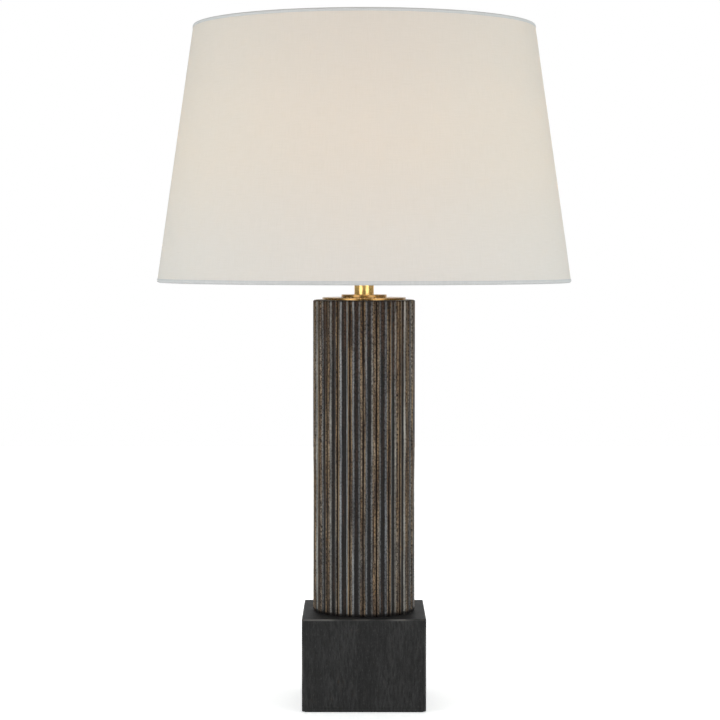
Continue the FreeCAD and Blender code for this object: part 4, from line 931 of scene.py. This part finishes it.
def build_threads(finishes):
    """The pieces whose threads and beads the solids leave out."""
    pieces = [
        (bulb_screw(), "bulb", "bulb_cap", "cap_aluminium"),
        (holder_screw(), "base", "screw_shell", "contact_brass"),
        (threaded_stud(), "swivel", "harp_stud", "harp_brass"),
    ]
    for k, drop in enumerate(BEADS_BELOW_TOP):
        bead = shell_bead(f"shell_bead_{k + 1}", HOLDER_SHELL_HIGH.z - drop)
        pieces.append((bead, "base", None, "holder_brass"))
    for piece, body, node, slot in pieces:
        give(piece, finishes[slot])
        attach(piece, body)
        if node:
            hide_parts(node)


# Studio


def build_floor():
    """A pale floor. The camera sees it white where no shadow falls."""
    half = FLOOR_HALF
    corners = [(-half, -half, 0), (half, -half, 0), (half, half, 0), (-half, half, 0)]
    floor = new_piece("floor", corners, [(0, 1, 2, 3)])
    s = Surface("floor_white", base_color=(0.8, 0.8, 0.8), roughness=0.9, specular_ior_level=0.0)
    axes = s.axes(s.place())
    far = s.step(s.from_axis(axes["X"], axes["Y"]), *SHADOW_REACH)
    brightness = s.math("MULTIPLY_ADD", far, 0.5, 0.5)
    glow = s.node("Emission", {"Color": WHITE, "Strength": brightness})
    plain = s.shader.outputs["BSDF"]
    seen = s.node("AddShader", {0: plain, 1: glow})
    mixed = s.node("MixShader", {0: seen_ray(s), 1: plain, 2: seen})
    s.tree.links.new(mixed, s.output.inputs["Surface"])
    give(floor, s.material)


def seen_ray(s):
    """1 for rays that show the surroundings themselves: straight, mirrored or through glass."""
    straight_or_mirrored = s.plus(s.light_path("Is Camera Ray"), s.light_path("Is Glossy Ray"))
    return s.math("MINIMUM", s.plus(straight_or_mirrored, s.light_path("Is Transmission Ray")), 1.0)


def build_world():
    """White to the camera and through glass. Metal mirrors white from straight behind the lamp and a darker
    studio from everywhere else."""
    world = bpy.data.worlds.new("studio")
    bpy.context.scene.world = world
    world.use_nodes = True
    tree = world.node_tree
    tree.nodes.clear()

    def node(kind, inputs, **settings):
        made = tree.nodes.new("ShaderNode" + kind)
        for key, value in settings.items():
            setattr(made, key, value)
        for key, value in inputs.items():
            if isinstance(value, bpy.types.NodeSocket):
                tree.links.new(value, made.inputs[key])
            else:
                made.inputs[key].default_value = value
        return made

    path = node("LightPath", {})
    behind = node("SeparateXYZ", {0: node("TexCoord", {}).outputs["Generated"]}).outputs["Y"]
    edge, middle = BACKDROP_EDGE
    span = {"From Min": edge, "From Max": middle, "To Min": MIRRORED_DARK, "To Max": 1.0}
    mirrored = node("MapRange", {"Value": behind, **span}, interpolation_type="SMOOTHSTEP").outputs[0]
    level = AMBIENT
    for ray, value in (("Is Glossy Ray", mirrored), ("Is Transmission Ray", 1.0), ("Is Camera Ray", 1.0)):
        level = node("Mix", {0: path.outputs[ray], 2: level, 3: value}, data_type="FLOAT").outputs[0]
    background = node("Background", {"Color": (*WHITE, 1.0), "Strength": level})
    node("OutputWorld", {"Surface": background.outputs[0]})


def area_light(name, azimuth, height, distance, size, power, tint=WHITE, mirrored=True):
    """A soft box at that azimuth from the front, in degrees, turned to the middle of the lamp."""
    light = bpy.data.lights.new(name, "AREA")
    light.shape = "RECTANGLE"
    light.size, light.size_y = size
    light.energy = power
    light.color = tint
    box = bpy.data.objects.new(name, light)
    bpy.context.scene.collection.objects.link(box)
    a = math.radians(azimuth)
    box.location = (distance * math.sin(a), -distance * math.cos(a), height)
    box.rotation_euler = (LAMP_MIDDLE - box.location).to_track_quat("-Z", "Z").to_euler()
    box.visible_glossy = mirrored
    box.visible_camera = False


def build_lights():
    """Two soft boxes in front, and fills at the sides, in front and behind, which metal doesn't mirror."""
    soft_box = {"height": 0.7, "distance": 1.7, "size": (0.75, 1.7), "power": 10.0}
    area_light("soft_box_left", azimuth=-47, **soft_box)
    area_light("soft_box_right", azimuth=47, **soft_box)
    side = {"height": 0.9, "distance": 2.0, "size": (1.0, 1.6), "power": 8.0, "tint": COOL_LIGHT}
    area_light("side_fill_left", azimuth=-84, mirrored=False, **side)
    area_light("side_fill_right", azimuth=84, mirrored=False, **side)
    fill = {"height": 1.1, "size": (1.6, 1.6), "mirrored": False}
    area_light("front_fill", azimuth=0, distance=3.0, power=10.0, **fill)
    area_light("back_fill", azimuth=180, distance=2.4, power=26.0, **fill)


def build_camera():
    """The camera that took the photograph."""
    camera = bpy.data.cameras.new("camera")
    camera.sensor_width = SENSOR_WIDTH_MM
    camera.lens = FOCAL_PIXELS / IMAGE_WIDTH * SENSOR_WIDTH_MM
    camera.clip_start, camera.clip_end = 0.1, 50.0
    view = bpy.data.objects.new("camera", camera)
    bpy.context.scene.collection.objects.link(view)
    view.location = CAMERA_PLACE
    view.rotation_euler = (math.radians(90 + CAMERA_PITCH), math.radians(CAMERA_ROLL), 0)
    bpy.context.scene.camera = view


bpy.context.scene.view_settings.view_transform = "Standard"
finishes = dress_nodes()
build_shade()
build_felt(finishes["felt"])
build_threads(finishes)
build_floor()
build_world()
build_lights()
build_camera()
